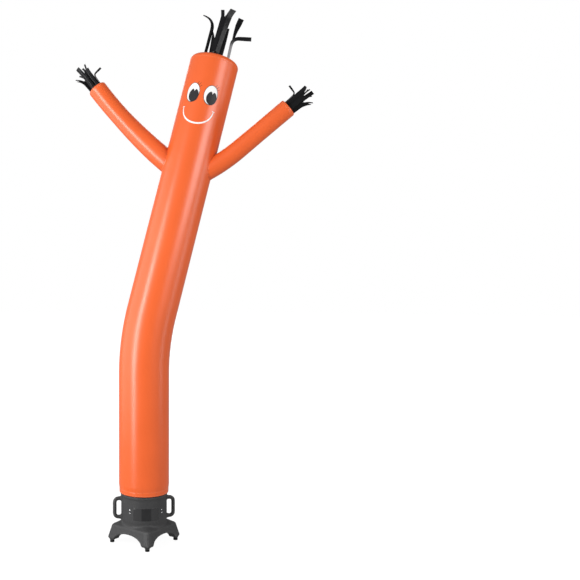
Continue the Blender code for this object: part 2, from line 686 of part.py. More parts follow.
def rivet_shape(foot, out, sides=12):
    """A rivet's domed head, as rings that close in over a part of a ball."""
    across = np.cross(out, [0.0, 0.0, 1.0])
    up = np.array([0.0, 0.0, 1.0])
    turns = np.arange(sides) * math.tau / sides
    rings = []
    for share, height in ((1.0, 0.0), (0.92, 0.45), (0.70, 0.80), (0.35, 1.0)):
        circle = RIVET_RADIUS * share * (np.outer(np.cos(turns), across) - np.outer(np.sin(turns), up))
        rings.append(foot + RIVET_DOME * height * out + circle)
    return swept(rings)


def build_guard(root, materials):
    """The outlet's wire guard: rings on two crossed bars, and a bolt in each of the rim's notches."""
    steel = materials["bright_steel"]
    middle = GUARD_SEAT_Z + CLEARANCE + 0.5 * GUARD_WIRE
    half = 0.5 * GUARD_WIRE
    guard = None
    for number, radius in enumerate(GUARD_RINGS, 1):
        ring = wrapped_plate(radius - half, radius + half, middle - half, middle + half, 0.0, 360.0, 40)[:-1]
        shape = swept(ring, closed=True)
        if guard is None:
            guard = add_mesh("outlet_guard", *shape, steel, root)
        else:
            add_boolean(guard, add_mesh(f"guide_guard_ring_{number}", *shape, parent=root), "UNION")
    for number, turn in enumerate((NOTCH_ANGLES[0], NOTCH_ANGLES[1]), 1):
        end = (GUARD_RINGS[-1] + 0.3 * half) * from_front(turn)
        lift = np.array([0.0, 0.0, middle])
        bar = rod(lift - end, lift + end, 0.9 * half, 0.9 * half, 6)
        add_boolean(guard, add_mesh(f"guide_guard_bar_{number}", *bar, parent=root), "UNION")
    for number, turn in enumerate(NOTCH_ANGLES, 1):
        out = from_front(turn)
        lift = np.array([0.0, 0.0, RIM_TOP_Z - NOTCH_DEPTH + CLEARANCE + BOLT_RADIUS])
        start = (DRUM_RADIUS + 0.001) * out + lift
        shape = rod(start - BOLT_LENGTH * out, start, BOLT_RADIUS, BOLT_RADIUS, 10)
        add_mesh(f"guard_bolt_{number}", *shape, steel, root)


# ---------------------------------------------------------------- placing the whole
def stand_on_origin(root):
    """Moves everything so that the middle of its box's underside is the origin."""
    bpy.context.view_layer.update()
    graph = bpy.context.evaluated_depsgraph_get()
    low, high = Vector((math.inf,) * 3), Vector((-math.inf,) * 3)
    for item in bpy.data.objects:
        if item.type != "MESH" or item.hide_render:
            continue
        for vertex in item.evaluated_get(graph).data.vertices:
            for axis in range(3):
                low[axis] = min(low[axis], vertex.co[axis])
                high[axis] = max(high[axis], vertex.co[axis])
    root.location = (-0.5 * (low.x + high.x), -0.5 * (low.y + high.y), -low.z)
    bpy.context.view_layer.update()


def main():
    clear_scene()
    materials = {name: make_material(name) for name in COLOURS}
    root = bpy.data.objects.new("air_dancer", None)
    bpy.context.scene.collection.objects.link(root)
    build_housing(root, materials)
    build_trim(root, materials)
    build_guard(root, materials)
    build_dancer(root, materials)
    stand_on_origin(root)


main()
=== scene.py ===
"""Looks for an inflatable air dancer on the fan blower that fills it.

The packed solids give the places; every visible surface is made again here at cloth and moulding
scale.  Metres, +Z up, the dancer looks along -Y, and angles round the blower run from -Y towards +X.
"""

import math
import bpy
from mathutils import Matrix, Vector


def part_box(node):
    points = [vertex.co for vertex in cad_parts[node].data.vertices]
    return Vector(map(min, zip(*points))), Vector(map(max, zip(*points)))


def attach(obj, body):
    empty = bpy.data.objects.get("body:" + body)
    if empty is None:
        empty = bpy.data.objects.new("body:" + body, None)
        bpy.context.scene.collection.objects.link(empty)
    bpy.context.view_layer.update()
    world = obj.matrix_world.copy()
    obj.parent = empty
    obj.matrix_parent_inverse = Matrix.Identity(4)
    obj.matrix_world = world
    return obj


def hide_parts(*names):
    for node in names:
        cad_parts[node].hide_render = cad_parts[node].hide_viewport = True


bl_info = {
    "name": "Air dancer looks",
    "version": (1, 0, 0),
    "blender": (4, 5, 0),
    "location": "View3D > Sidebar > Air dancer",
    "description": "Builds the cloth, ribbons, moulding and studio of an inflatable air dancer",
    "category": "Add Mesh",
}

from collections import namedtuple
from functools import reduce

import bmesh
import bpy
import numpy as np
from bpy.props import FloatProperty, FloatVectorProperty, IntProperty, PointerProperty
from mathutils import Vector

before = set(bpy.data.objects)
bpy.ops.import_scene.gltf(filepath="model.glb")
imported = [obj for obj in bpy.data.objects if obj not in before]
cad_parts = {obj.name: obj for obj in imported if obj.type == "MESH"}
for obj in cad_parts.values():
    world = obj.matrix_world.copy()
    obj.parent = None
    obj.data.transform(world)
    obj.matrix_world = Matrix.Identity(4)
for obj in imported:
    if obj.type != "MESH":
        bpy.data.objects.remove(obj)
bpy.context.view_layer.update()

UP = np.array([0.0, 0.0, 1.0])
TAU = math.tau


def middle(node):
    """The middle of a solid's box."""
    low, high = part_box(node)
    return 0.5 * (np.array(low) + np.array(high))


AXIS = middle("hook_band") * (1.0, 1.0, 0.0)     # foot of the blower's axis
GAP = 0.0003                                     # clearance of a piece from what it lies on
SHARP_EDGE = math.radians(40.0)


# ---------------------------------------------------------------- sizes and colours
def length(name, default, description):
    return FloatProperty(name=name, default=default, description=description, unit="LENGTH", precision=4)


def degrees(name, default, description):
    return FloatProperty(name=name, default=math.radians(default), description=description, subtype="ANGLE")


def colour(name, default, description):
    rgba = (*default, 1.0)
    return FloatVectorProperty(
        name=name, default=rgba, size=4, min=0.0, max=1.0, subtype="COLOR", description=description
    )


class TubeSizes(bpy.types.PropertyGroup):
    """Sizes of the nylon tube."""

    radius: length("Radius", 0.1525, "Outside radius of the filled tube")
    cloth: length("Cloth", 0.0015, "Thickness of the cloth")
    hem_height: length("Hem height", 0.3060, "Height of the hem's lower edge above the ground")
    hem_radius: length("Hem radius", 0.1492, "Outside radius where the hem grips the outlet")
    hem_cloth: length("Hem cloth", 0.0026, "Thickness of the folded hem")
    hem_depth: length("Hem depth", 0.0280, "Depth of the folded hem")
    upright: length("Upright run", 0.7210, "Run from the hem to the start of the bend")
    bend: length("Bend", 0.3750, "Run over which the tube starts to lean")
    sway_run: length("Swaying run", 1.6220, "Run from the bend to the crown")
    sway_tilt: degrees("Tilt", 15.2, "Lean of the swaying run from upright")
    sway_azimuth: degrees("Azimuth", 14.9, "Direction of the lean, from +X towards +Y")
    turn: degrees("Turn", -18.0, "Turn of the face and arms about the tube")
    shoulder: length("Shoulder", 0.0280, "Rounding where the wall turns into the crown")
    crown_rise: length("Crown rise", 0.0020, "Rise of the crown panel at its vent")
    vent: length("Vent", 0.0500, "Radius of the crown's vent")
    relief: length("Relief", 0.0008, "Height of the puckers at the seams")


class SleeveSizes(bpy.types.PropertyGroup):
    """Sizes that both sleeves share."""

    round_over: length("Rounding", 0.0100, "Rounding at the hand's end panel")
    vent: length("Vent", 0.0140, "Radius of the hand's vent")
    rise: length("Rise", 0.0010, "Rise of the end panel at its vent")


class FaceSizes(bpy.types.PropertyGroup):
    """Places and sizes of the face patches, measured along the cloth."""

    eyes_below: length("Eyes below crown", 0.2680, "Distance from the crown to the eyes' middles")
    eye_spread: length("Eye spread", 0.0570, "Distance from the face's middle to each eye's middle")
    eye_half_width: length("Eye half width", 0.0430, "Half the width of an eye's white")
    eye_half_height: length("Eye half height", 0.0620, "Half the height of an eye's white")
    pupil_half_width: length("Pupil half width", 0.0320, "Half the width of a pupil")
    pupil_half_height: length("Pupil half height", 0.0420, "Half the height of a pupil")
    smile_below: length("Smile below crown", 0.3620, "Distance from the crown to the smile's ends")
    smile_half_width: length("Smile half width", 0.0985, "Half the distance between the smile's ends")
    smile_drop: length("Smile drop", 0.0940, "Fall from the smile's ends to its middle")
    smile_stroke: length("Smile stroke", 0.0105, "Width of the smile at its middle")


class RibbonSizes(bpy.types.PropertyGroup):
    """Sizes that every ribbon shares."""

    thickness: length("Thickness", 0.0006, "Thickness of the ribbon")
    stations: IntProperty(
        name="Stations", default=44, min=8, max=200, description="Rows of points along a ribbon"
    )


class BlowerSizes(bpy.types.PropertyGroup):
    """Sizes of the blower that its new surfaces follow."""

    drum: length("Drum radius", 0.1395, "Outside radius of the drum")
    duct: length("Duct radius", 0.1265, "Radius of the duct inside the drum")
    rim_top: length("Rim top", 0.3500, "Height of the rim")
    guard_seat: length("Guard seat", 0.3365, "Height of the step that the guard lies on")
    rib_low: length("Lower rib", 0.2920, "Height of the rib below the hook band")
    rib_high: length("Upper rib", 0.3340, "Height of the rib above the hook band")
    rib_rise: length("Rib rise", 0.0040, "How far a rib stands out of the drum")
    rib_half: length("Rib half height", 0.0060, "Half the height of a rib")
    voxel: length("Remesh step", 0.0030, "Grid step of the moulding's surface")
    wire: length("Wire", 0.0026, "Thickness of the guard's wires")


class Finishes(bpy.types.PropertyGroup):
    """Colours of the object and its studio."""

    nylon: colour("Nylon", (0.770, 0.118, 0.022), "The tube and sleeves")
    ribbon: colour("Ribbon", (0.004, 0.004, 0.005), "Hair and hand ribbons")
    white: colour("White patch", (0.860, 0.860, 0.850), "Eyes and smile")
    pupil: colour("Dark patch", (0.022, 0.022, 0.024), "Pupils, eye outlines and lashes")
    moulding: colour("Moulding", (0.041, 0.041, 0.042), "The blower's housing")
    tape: colour("Hook tape", (0.020, 0.019, 0.023), "The band under the rim")
    plate: colour("Plate", (0.014, 0.014, 0.015), "The blank label plate")
    steel: colour("Steel", (0.780, 0.780, 0.790), "Rivets, bolts and guard")
    rubber: colour("Rubber", (0.004, 0.004, 0.004), "The feet")
    floor: colour("Floor", (0.900, 0.900, 0.900), "Studio floor")


GROUPS = {
    "dancer_tube": TubeSizes,
    "dancer_sleeves": SleeveSizes,
    "dancer_face": FaceSizes,
    "dancer_ribbons": RibbonSizes,
    "dancer_blower": BlowerSizes,
    "dancer_finishes": Finishes,
}

# place below the crown, tilts in degrees from upright, radii at the root and at the hand
Sleeve = namedtuple("Sleeve", "node azimuth below tilt_from tilt_to first_run bend length root hand")
SLEEVES = (
    Sleeve("arm_left", 180.0, 0.760, 49.5, 38.0, 0.150, 0.630, 0.812, 0.0690, 0.0600),
    Sleeve("arm_right", 0.0, 0.807, 61.0, 51.0, 0.200, 0.200, 0.782, 0.0590, 0.0555),
)

# place on the panel, width, length; lean, heading, curl, roll and twist in degrees; the rest are shares
Ribbon = namedtuple(
    "Ribbon",
    "side depth width length lean towards curl onset span roll twist tails split spread taper fold root pale",
)
HAIR = (
    (-0.064, -0.036, 0.030, 0.300, -1, 192, 80, 0.56, 0.44, 64, -12, 1, 1.00, 0.0, 0.60, 0.05, 0.7, 0.0),
    (-0.002, -0.066, 0.068, 0.340, -4, 192, 1, 0.50, 0.50, -84, 4, 2, 0.84, 0.45, 0.0, 0.24, 0.80, 0.0),
    (0.020, -0.050, 0.046, 0.225, 2, 22, 3, 0.55, 0.40, -70, 10, 1, 1.00, 0.0, 0.9, -0.12, 1.0, 0.0),
    (0.004, 0.064, 0.042, 0.250, 1, 12, 3, 0.40, 0.60, -88, 8, 1, 1.00, 0.0, 0.3, 0.10, 1.0, 0.0),
    (0.078, -0.006, 0.025, 0.262, 1, 192, -80, 0.42, 0.32, 58, 14, 1, 1.00, 0.0, 0.0, 0.05, 0.8, 1.0),
    (0.062, 0.046, 0.036, 0.322, 3, 22, 8, 0.50, 0.50, 4, -84, 1, 1.00, 0.0, 0.0, 0.05, 0.12, 0.0),
    (-0.046, 0.048, 0.026, 0.225, 5, 150, 18, 0.50, 0.50, 50, 24, 1, 1.00, 0.0, 1.0, 0.08, 0.9, 0.0),
)
STREAMERS = (
    (-0.012, -0.032, 0.029, 0.166, 1, 180, 6, 0.50, 0.50, -80, 12, 1, 1.00, 0.0, 0.0, 0.16, 1.0, 0.0),
    (0.014, -0.023, 0.030, 0.160, 0, 10, 6, 0.50, 0.50, -70, 10, 2, 0.84, 0.5, 0.0, -0.14, 1.0, 0.0),
    (0.018, 0.018, 0.028, 0.150, 1, 30, 10, 0.50, 0.50, -60, 20, 1, 1.00, 0.0, 0.3, 0.08, 1.0, 0.0),
    (-0.012, 0.030, 0.030, 0.156, 2, 176, 10, 0.50, 0.50, -84, -8, 2, 0.72, 0.9, 0.2, 0.06, 1.0, 0.0),
    (-0.030, -0.002, 0.026, 0.150, 3, 182, 24, 0.45, 0.55, 62, 16, 2, 0.60, 1.3, 0.3, 0.06, 1.0, 0.0),
    (-0.036, -0.016, 0.022, 0.122, 4, 184, 46, 0.35, 0.65, 68, -12, 1, 1.00, 0.0, 0.9, 0.05, 1.0, 0.0),
    (0.036, 0.000, 0.013, 0.132, 2, 0, 84, 0.44, 0.26, 58, 10, 1, 1.00, 0.0, 0.0, 0.03, 0.5, 1.0),
)


def sizes(name):
    return getattr(bpy.context.scene, name)


# ---------------------------------------------------------------- surfaces from grids
class Surface:
    """Points, faces and each face corner's place on the cloth, from a grid of rows and columns."""

    def __init__(self, points, u=None, v=None, around=False, loop=False, caps=False):
        rows, columns = points.shape[:2]
        rows_joined, columns_joined = rows if loop else rows - 1, columns if around else columns - 1
        i, j = np.meshgrid(np.arange(rows_joined), np.arange(columns_joined), indexing="ij")
        below, beside = (i + 1) % rows, (j + 1) % columns
        corners = [i * columns + j, i * columns + beside, below * columns + beside, below * columns + j]
        self.points = points.reshape(-1, 3)
        self.faces = np.stack(corners, -1).reshape(-1, 4).tolist()
        u = np.linspace(0.0, 1.0, columns + 1) if u is None else np.asarray(u, float)
        v = np.linspace(0.0, 1.0, rows + 1) if v is None else np.asarray(v, float)
        reach = [np.stack([u[j + a], v[i + b]], -1) for a, b in ((0, 0), (1, 0), (1, 1), (0, 1))]
        self.uv = np.stack(reach, -2).reshape(-1, 2)
        if caps:
            self.faces.append(list(range(columns))[::-1])
            self.faces.append(list(range((rows - 1) * columns, rows * columns)))
            flat = np.stack([np.cos(np.arange(columns)), np.sin(np.arange(columns))], -1) * 0.001
            self.uv = np.concatenate([self.uv, flat, flat])

    @classmethod
    def from_quads(cls, points, quads):
        """A surface that isn't one grid; its places on the cloth are all zero."""
        surface = cls.__new__(cls)
        surface.points, surface.faces = points, quads.tolist()
        surface.uv = np.zeros((quads.size, 2))
        return surface


def put_together(surfaces):
    """Several surfaces as one, with each one's points after those of the last."""
    whole, start = surfaces[0], len(surfaces[0].points)
    for other in surfaces[1:]:
        whole.faces = whole.faces + [[start + index for index in face] for face in other.faces]
        whole.uv = np.concatenate([whole.uv, other.uv])
        start += len(other.points)
    whole.points = np.concatenate([surface.points for surface in surfaces])
    return whole


def add_object(name, data):
    """A new object at the origin, linked to the scene."""
    thing = bpy.data.objects.new(name, data)
    bpy.context.scene.collection.objects.link(thing)
    return thing


def face_outwards(mesh, standing):
    """Winds the faces alike, and turns them all over where standing(shape) is negative."""
    shape = bmesh.new()
    shape.from_mesh(mesh)
    bmesh.ops.recalc_face_normals(shape, faces=shape.faces)
    if standing(shape) < 0.0:
        bmesh.ops.reverse_faces(shape, faces=shape.faces)
    shape.to_mesh(mesh)
    shape.free()


def make_piece(name, surface, material, stands_for=(), values=None):
    """A closed piece at the origin with its faces outwards, riding on the one body."""
    mesh = bpy.data.meshes.new(name)
    mesh.from_pydata(np.asarray(surface.points).tolist(), [], surface.faces)
    layer = mesh.uv_layers.new(name="cloth")
    layer.data.foreach_set("uv", np.asarray(surface.uv, np.float32).ravel())
    for key, amounts in (values or {}).items():
        attribute = mesh.attributes.new(key, "FLOAT", "POINT")
        attribute.data.foreach_set("value", np.asarray(amounts, np.float32).ravel())
    face_outwards(mesh, lambda shape: shape.calc_volume(signed=True))
    mesh.shade_smooth()
    mesh.set_sharp_from_angle(angle=SHARP_EDGE)
    mesh.materials.append(material)
    piece = add_object(name, mesh)
    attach(piece, "root")
    if stands_for:
        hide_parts(*stands_for)
    return piece


def make_four(stem, ending, shape, material):
    """The four like pieces of a set, each with the surface that shape(node) gives."""
    for number in range(1, 5):
        node = f"{stem}_{number}"
        make_piece(f"{node}_{ending}", shape(node), material, (node,))


def stepped(start, *stops):
    """Places from the start on in even steps: each stop is (place, how many steps lead to it)."""
    places = [[start]]
    for stop, steps in stops:
        places.append(np.linspace(start, stop, steps + 1)[1:])
        start = stop
    return np.concatenate(places)


def hump(distance, width):
    """A bell curve of a distance: one at zero, falling away over the width."""
    return np.exp(-((distance / width) ** 2))


def strip_profile(low, high, insets, rises, steps=8):
    """Heights and rises of a strip's section, rounded the same way at both edges and flat in between."""
    insets, rises = np.array(insets), np.array(rises)
    flat = np.linspace(low + insets[-1], high - insets[-1], steps)
    z = np.concatenate([low + insets[:-1], flat, (high - insets[:-1])[::-1]])
    return z, np.concatenate([rises[:-1], np.full(steps, rises[-1]), rises[:-1][::-1]])


def from_front(angle):
    """Unit vectors in plan at angles in radians from -Y towards +X."""
    return np.stack([np.sin(angle), -np.cos(angle), 0.0 * np.asarray(angle)], -1)


def turned(profile, centre, along, sides=32):
    """A profile of (distance along, radius) carried round an axis; its ends are closed flat."""
    along = np.asarray(along, float) / np.linalg.norm(along)
    side = np.cross(along, UP if abs(along[2]) < 0.9 else np.array([1.0, 0.0, 0.0]))
    side /= np.linalg.norm(side)
    turns = np.arange(sides) * TAU / sides
    circle = np.cos(turns)[:, None] * side + np.sin(turns)[:, None] * np.cross(along, side)
    reach, radius = np.array(profile, float).T
    points = centre + reach[:, None, None] * along + radius[:, None, None] * circle
    return Surface(points, around=True, caps=True)


def tube_along(path, radius, sides=8, closed=True):
    """A round wire carried along a path: each ring stands square to the path's own direction."""
    path = np.asarray(path, float)
    ahead = np.roll(path, -1, 0) - np.roll(path, 1, 0) if closed else np.gradient(path, axis=0)
    ahead /= np.linalg.norm(ahead, axis=1)[:, None]
    side = np.cross(ahead, UP)
    side /= np.linalg.norm(side, axis=1)[:, None]
    lift = np.cross(side, ahead)
    turns = np.arange(sides) * TAU / sides
    rings = path[:, None] + radius * (
        np.cos(turns)[None, :, None] * side[:, None] + np.sin(turns)[None, :, None] * lift[:, None]
    )
    return Surface(rings, around=True, loop=closed, caps=not closed)


# ---------------------------------------------------------------- centrelines
class Spine:
    """A centreline in one upright plane: a straight run, an arc, then a straight run."""

    def __init__(self, start, azimuth, tilt_from, tilt_to, first_run, bend, last_run):
        self.start = np.asarray(start, float)
        self.azimuth, self.tilts = azimuth, (tilt_from, tilt_to)
        self.first_run, self.bend = first_run, bend
        self.length = first_run + bend + last_run
        self.outward = np.array([math.cos(azimuth), math.sin(azimuth), 0.0])
        self.across = np.array([-math.sin(azimuth), math.cos(azimuth), 0.0])

    def at(self, s):
        """Points at distances s, with the directions along the spine and away from upright there."""
        s = np.asarray(s, float)
        low, high = self.tilts
        tilt = low + (high - low) * np.clip(s - self.first_run, 0.0, self.bend) / self.bend
        past = np.maximum(s - self.first_run - self.bend, 0.0)
        radius = self.bend / (high - low)
        run = np.minimum(s, self.first_run)
        sideways = run * math.sin(low) + radius * (math.cos(low) - np.cos(tilt)) + past * np.sin(tilt)
        upwards = run * math.cos(low) + radius * (np.sin(tilt) - math.sin(low)) + past * np.cos(tilt)
        sine, cosine = np.sin(tilt)[..., None], np.cos(tilt)[..., None]
        point = self.start + sideways[..., None] * self.outward + upwards[..., None] * UP
        return point, sine * self.outward + cosine * UP, cosine * self.outward - sine * UP

    def place(self, s, angle, radius):
        """Points off the spine; angles are in radians from +X, before the sway."""
        point, _, away = self.at(s)
        turn = np.asarray(angle, float) - self.azimuth
        outwards = np.cos(turn)[..., None] * away + np.sin(turn)[..., None] * self.across
        return point + np.asarray(radius)[..., None] * outwards

    def panel(self, angle):
        """Origin, side, depth and up of the panel at the spine's end; side is at the angle."""
        end = self.length
        origin, up, _ = self.at(end)
        side = self.place(end, angle, 1.0) - origin
        depth = self.place(end, angle + 0.25 * TAU, 1.0) - origin
        return origin, side, depth, up


def tube_spine():
    tube = sizes("dancer_tube")
    start = AXIS + np.array([0.0, 0.0, tube.hem_height])
    return Spine(start, tube.sway_azimuth, 0.0, tube.sway_tilt, tube.upright, tube.bend, tube.sway_run)


def sleeve_spine(row):
    spine = tube_spine()
    start, _, _ = spine.at(spine.length - row.below)
    azimuth = math.radians(row.azimuth) + sizes("dancer_tube").turn
    tilts = math.radians(row.tilt_from), math.radians(row.tilt_to)
    return Spine(start, azimuth, *tilts, row.first_run, row.bend, row.length - row.first_run - row.bend)


def waves(angle, counts, seed):
    """A sum of cosines of whole numbers of waves round a circle, with set phases, within -1 to 1."""
    phases = np.random.default_rng(seed).uniform(0.0, TAU, len(counts))
    return sum(np.cos(count * angle + phase) for count, phase in zip(counts, phases)) / len(counts)


# ---------------------------------------------------------------- the tube
def tube_relief(spine, s, angle):
    """How far the filled cloth stands off a plain tube.

    Puckers fade away from the hem and from the crown's seam, short folds lie inside the bend, and the
    wall rises to each sleeve's seam with puckers that run out from it.
    """
    tube = sizes("dancer_tube")
    height, fold_pitch, pucker_reach, welt = tube.relief, 0.052, 0.022, 0.008
    relief = 0.8 * height * hump(s - tube.hem_depth, 0.035) * waves(angle, (23, 31, 44), 1)
    crown = spine.length - tube.shoulder
    relief = relief + 0.9 * height * hump(s - crown, pucker_reach) * waves(angle, (27, 35, 50), 2)
    bend = tube.upright + 0.55 * tube.bend
    facing = np.clip(np.cos(angle - spine.azimuth), 0.0, 1.0) ** 5
    folds = np.cos(TAU * s / fold_pitch + 2.0 * np.sin(3.0 * angle)) * hump(s - bend, 0.13)
    relief = relief + 0.7 * height * facing * folds
    for row in SLEEVES:
        arm = sleeve_spine(row)
        point = spine.place(s, angle, tube.radius + 0.0 * s) - arm.start
        _, along, away = arm.at(0.1)
        reach = point @ along
        beside, ahead = point @ arm.across, point @ away
        distance = np.abs(np.hypot(beside, ahead) - row.root)
        near = np.where(reach > 0.0, np.exp(-distance / pucker_reach), 0.0)
        spokes = waves(np.arctan2(beside, ahead), (19, 26), 3)
        relief = relief + near * height * (1.1 * spokes + 1.2 * np.exp(-distance / welt))
    return relief


def tube_surface():
    """The tube's cloth as one closed skin: up its outside, over the crown to the vent, and back inside."""
    tube, spine = sizes("dancer_tube"), tube_spine()
    columns = 160
    seam = 0.25 * TAU + tube.turn                     # the lengthwise seam is at the back
    angle = seam + np.arange(columns) * TAU / columns
    wall = stepped(0.0, (tube.hem_depth, 7), (0.06, 8), (spine.length - tube.shoulder, 299))
    outside = np.interp(
        wall,
        [0.0, 0.004, tube.hem_depth, tube.hem_depth + 0.022],
        [tube.hem_radius - 0.0006, tube.hem_radius, tube.hem_radius + 0.0005, tube.radius],
    )
    swing = np.linspace(0.0, 0.25 * TAU, 12)[1:]
    top = spine.length - tube.shoulder + tube.shoulder * np.sin(swing)
    over = tube.radius - tube.shoulder + tube.shoulder * np.cos(swing)
    share = np.linspace(0.0, 1.0, 10)[1:]
    panel = tube.radius - tube.shoulder + share * (tube.vent - tube.radius + tube.shoulder)
    domed = spine.length + tube.crown_rise * share
    s = np.concatenate([wall, top, domed])
    r = np.concatenate([outside, over, panel])
    fade = np.concatenate([np.ones_like(wall), np.cos(swing), np.zeros_like(share)])
    rows, hem_rows, coarser = np.arange(len(s)), 16, 6
    keep = rows[(rows < hem_rows) | (rows >= len(wall)) | ((rows - hem_rows) % coarser == 0)][::-1]
    thickness = np.where(s[keep] < tube.hem_depth + 0.001, tube.hem_cloth, tube.cloth)
    within_s = np.where(s[keep] > spine.length - tube.shoulder, s[keep] - tube.cloth, s[keep])
    within_r = r[keep] - np.where(s[keep] >= spine.length, 0.0, thickness)
    rows_s, rows_r = np.concatenate([s, within_s]), np.concatenate([r, within_r])
    rows_fade = np.concatenate([fade, fade[keep]])
    grid_s, grid_angle = np.meshgrid(rows_s, angle, indexing="ij")
    relief = tube_relief(spine, grid_s, grid_angle) * rows_fade[:, None]
    points = spine.place(grid_s, grid_angle, rows_r[:, None] + relief)
    steps = np.hypot(np.diff(rows_s, append=rows_s[:1]), np.diff(rows_r, append=rows_r[:1]))
    return Surface(
        points,
        u=np.arange(columns + 1) * TAU / columns * tube.radius,
        v=np.concatenate([[0.0], np.cumsum(steps)]),
        around=True,
        loop=True,
    )


# ---------------------------------------------------------------- the sleeves
def seam_distance(arm, angle, radius):
    """Where each line along a sleeve leaves the tube, by halving the stretch in which it does."""
    tube, spine = sizes("dancer_tube"), tube_spine()
    foot, along, _ = spine.at(spine.length - 0.5)
    clearance, furthest = 0.0006, 0.4
    low, high = np.zeros_like(angle), np.full_like(angle, furthest)
    for _ in range(40):
        half = 0.5 * (low + high)
        off = arm.place(half, angle, radius + 0.0 * half) - foot
        off = off - (off @ along)[..., None] * along
        inside = np.linalg.norm(off, axis=-1) < tube.radius + clearance
        low, high = np.where(inside, half, low), np.where(inside, high, half)
    return high


def sleeve_surface(row):
    """A sleeve's cloth: its root follows the tube's side, its end closes to a vent and turns back inside."""
    tube, sleeve = sizes("dancer_tube"), sizes("dancer_sleeves")
    arm = sleeve_spine(row)
    root, hand = row.root, row.hand
    columns = 80
    seam_angle = 0.25 * TAU + tube.turn               # the lengthwise seam is at the back
    angle = seam_angle + np.arange(columns) * TAU / columns
    seam = seam_distance(arm, angle, root)
    end = arm.length - sleeve.round_over
    share = stepped(0.0, (0.12, 21), (0.93, 89), (1.0, 13))
    wall = seam[None, :] + share[:, None] * (end - seam[None, :])
    swing = np.linspace(0.0, 0.25 * TAU, 7)[1:]
    flat = np.linspace(0.0, 1.0, 7)[1:]
    over_s = np.concatenate([end + sleeve.round_over * np.sin(swing), arm.length + sleeve.rise * flat])
    over_r = np.concatenate([
        hand - sleeve.round_over + sleeve.round_over * np.cos(swing),
        hand - sleeve.round_over + flat * (sleeve.vent - hand + sleeve.round_over),
    ])
    s = np.concatenate([wall, np.repeat(over_s[:, None], columns, 1)])
    r = np.interp(wall, [0.3 * arm.length, 0.7 * arm.length], [root, hand])
    turn = np.repeat(angle[None, :], len(share), 0)
    from_seam, from_hand = wall - seam[None, :], end - wall
    height = tube.relief
    r = r + 0.7 * height * np.exp(-from_seam / 0.03) * waves(turn, (17, 23), 4)
    r = r + 0.5 * height * np.exp(-from_hand / 0.02) * waves(turn, (19, 27, 34), 5)
    inner = np.clip(np.cos(turn - arm.azimuth + 0.5 * TAU), 0.0, 1.0) ** 3
    elbow, fold_pitch = hump(wall - 0.4 * arm.length, 0.09), 0.045
    r = r + 0.6 * height * inner * elbow * np.cos(TAU * wall / fold_pitch + 1.5 * np.sin(2.0 * turn))
    r = np.concatenate([r, np.repeat(over_r[:, None], columns, 1)])
    keep = np.unique(np.concatenate([np.arange(0, len(s), 5), np.arange(len(share), len(s))]))[::-1]
    panel = keep >= len(share) + len(swing) - 1
    within_s = s[keep] - np.where(keep >= len(share), tube.cloth, 0.0)[:, None]
    within_r = r[keep] - np.where(panel, 0.0, tube.cloth)[:, None]
    rows_s, rows_r = np.concatenate([s, within_s]), np.concatenate([r, within_r])
    points = arm.place(rows_s, np.repeat(angle[None, :], len(rows_s), 0), rows_r)
    run, panel_run = end - seam.mean(), 0.055
    v = np.concatenate([share * run, run + np.linspace(0.0, panel_run, len(over_s) + 1)[1:]])
    v = np.concatenate([v, v[keep], v[:1]])
    u = np.arange(columns + 1) * TAU / columns * root
    return arm, seam, Surface(points, u=u, v=v, around=True, loop=True)


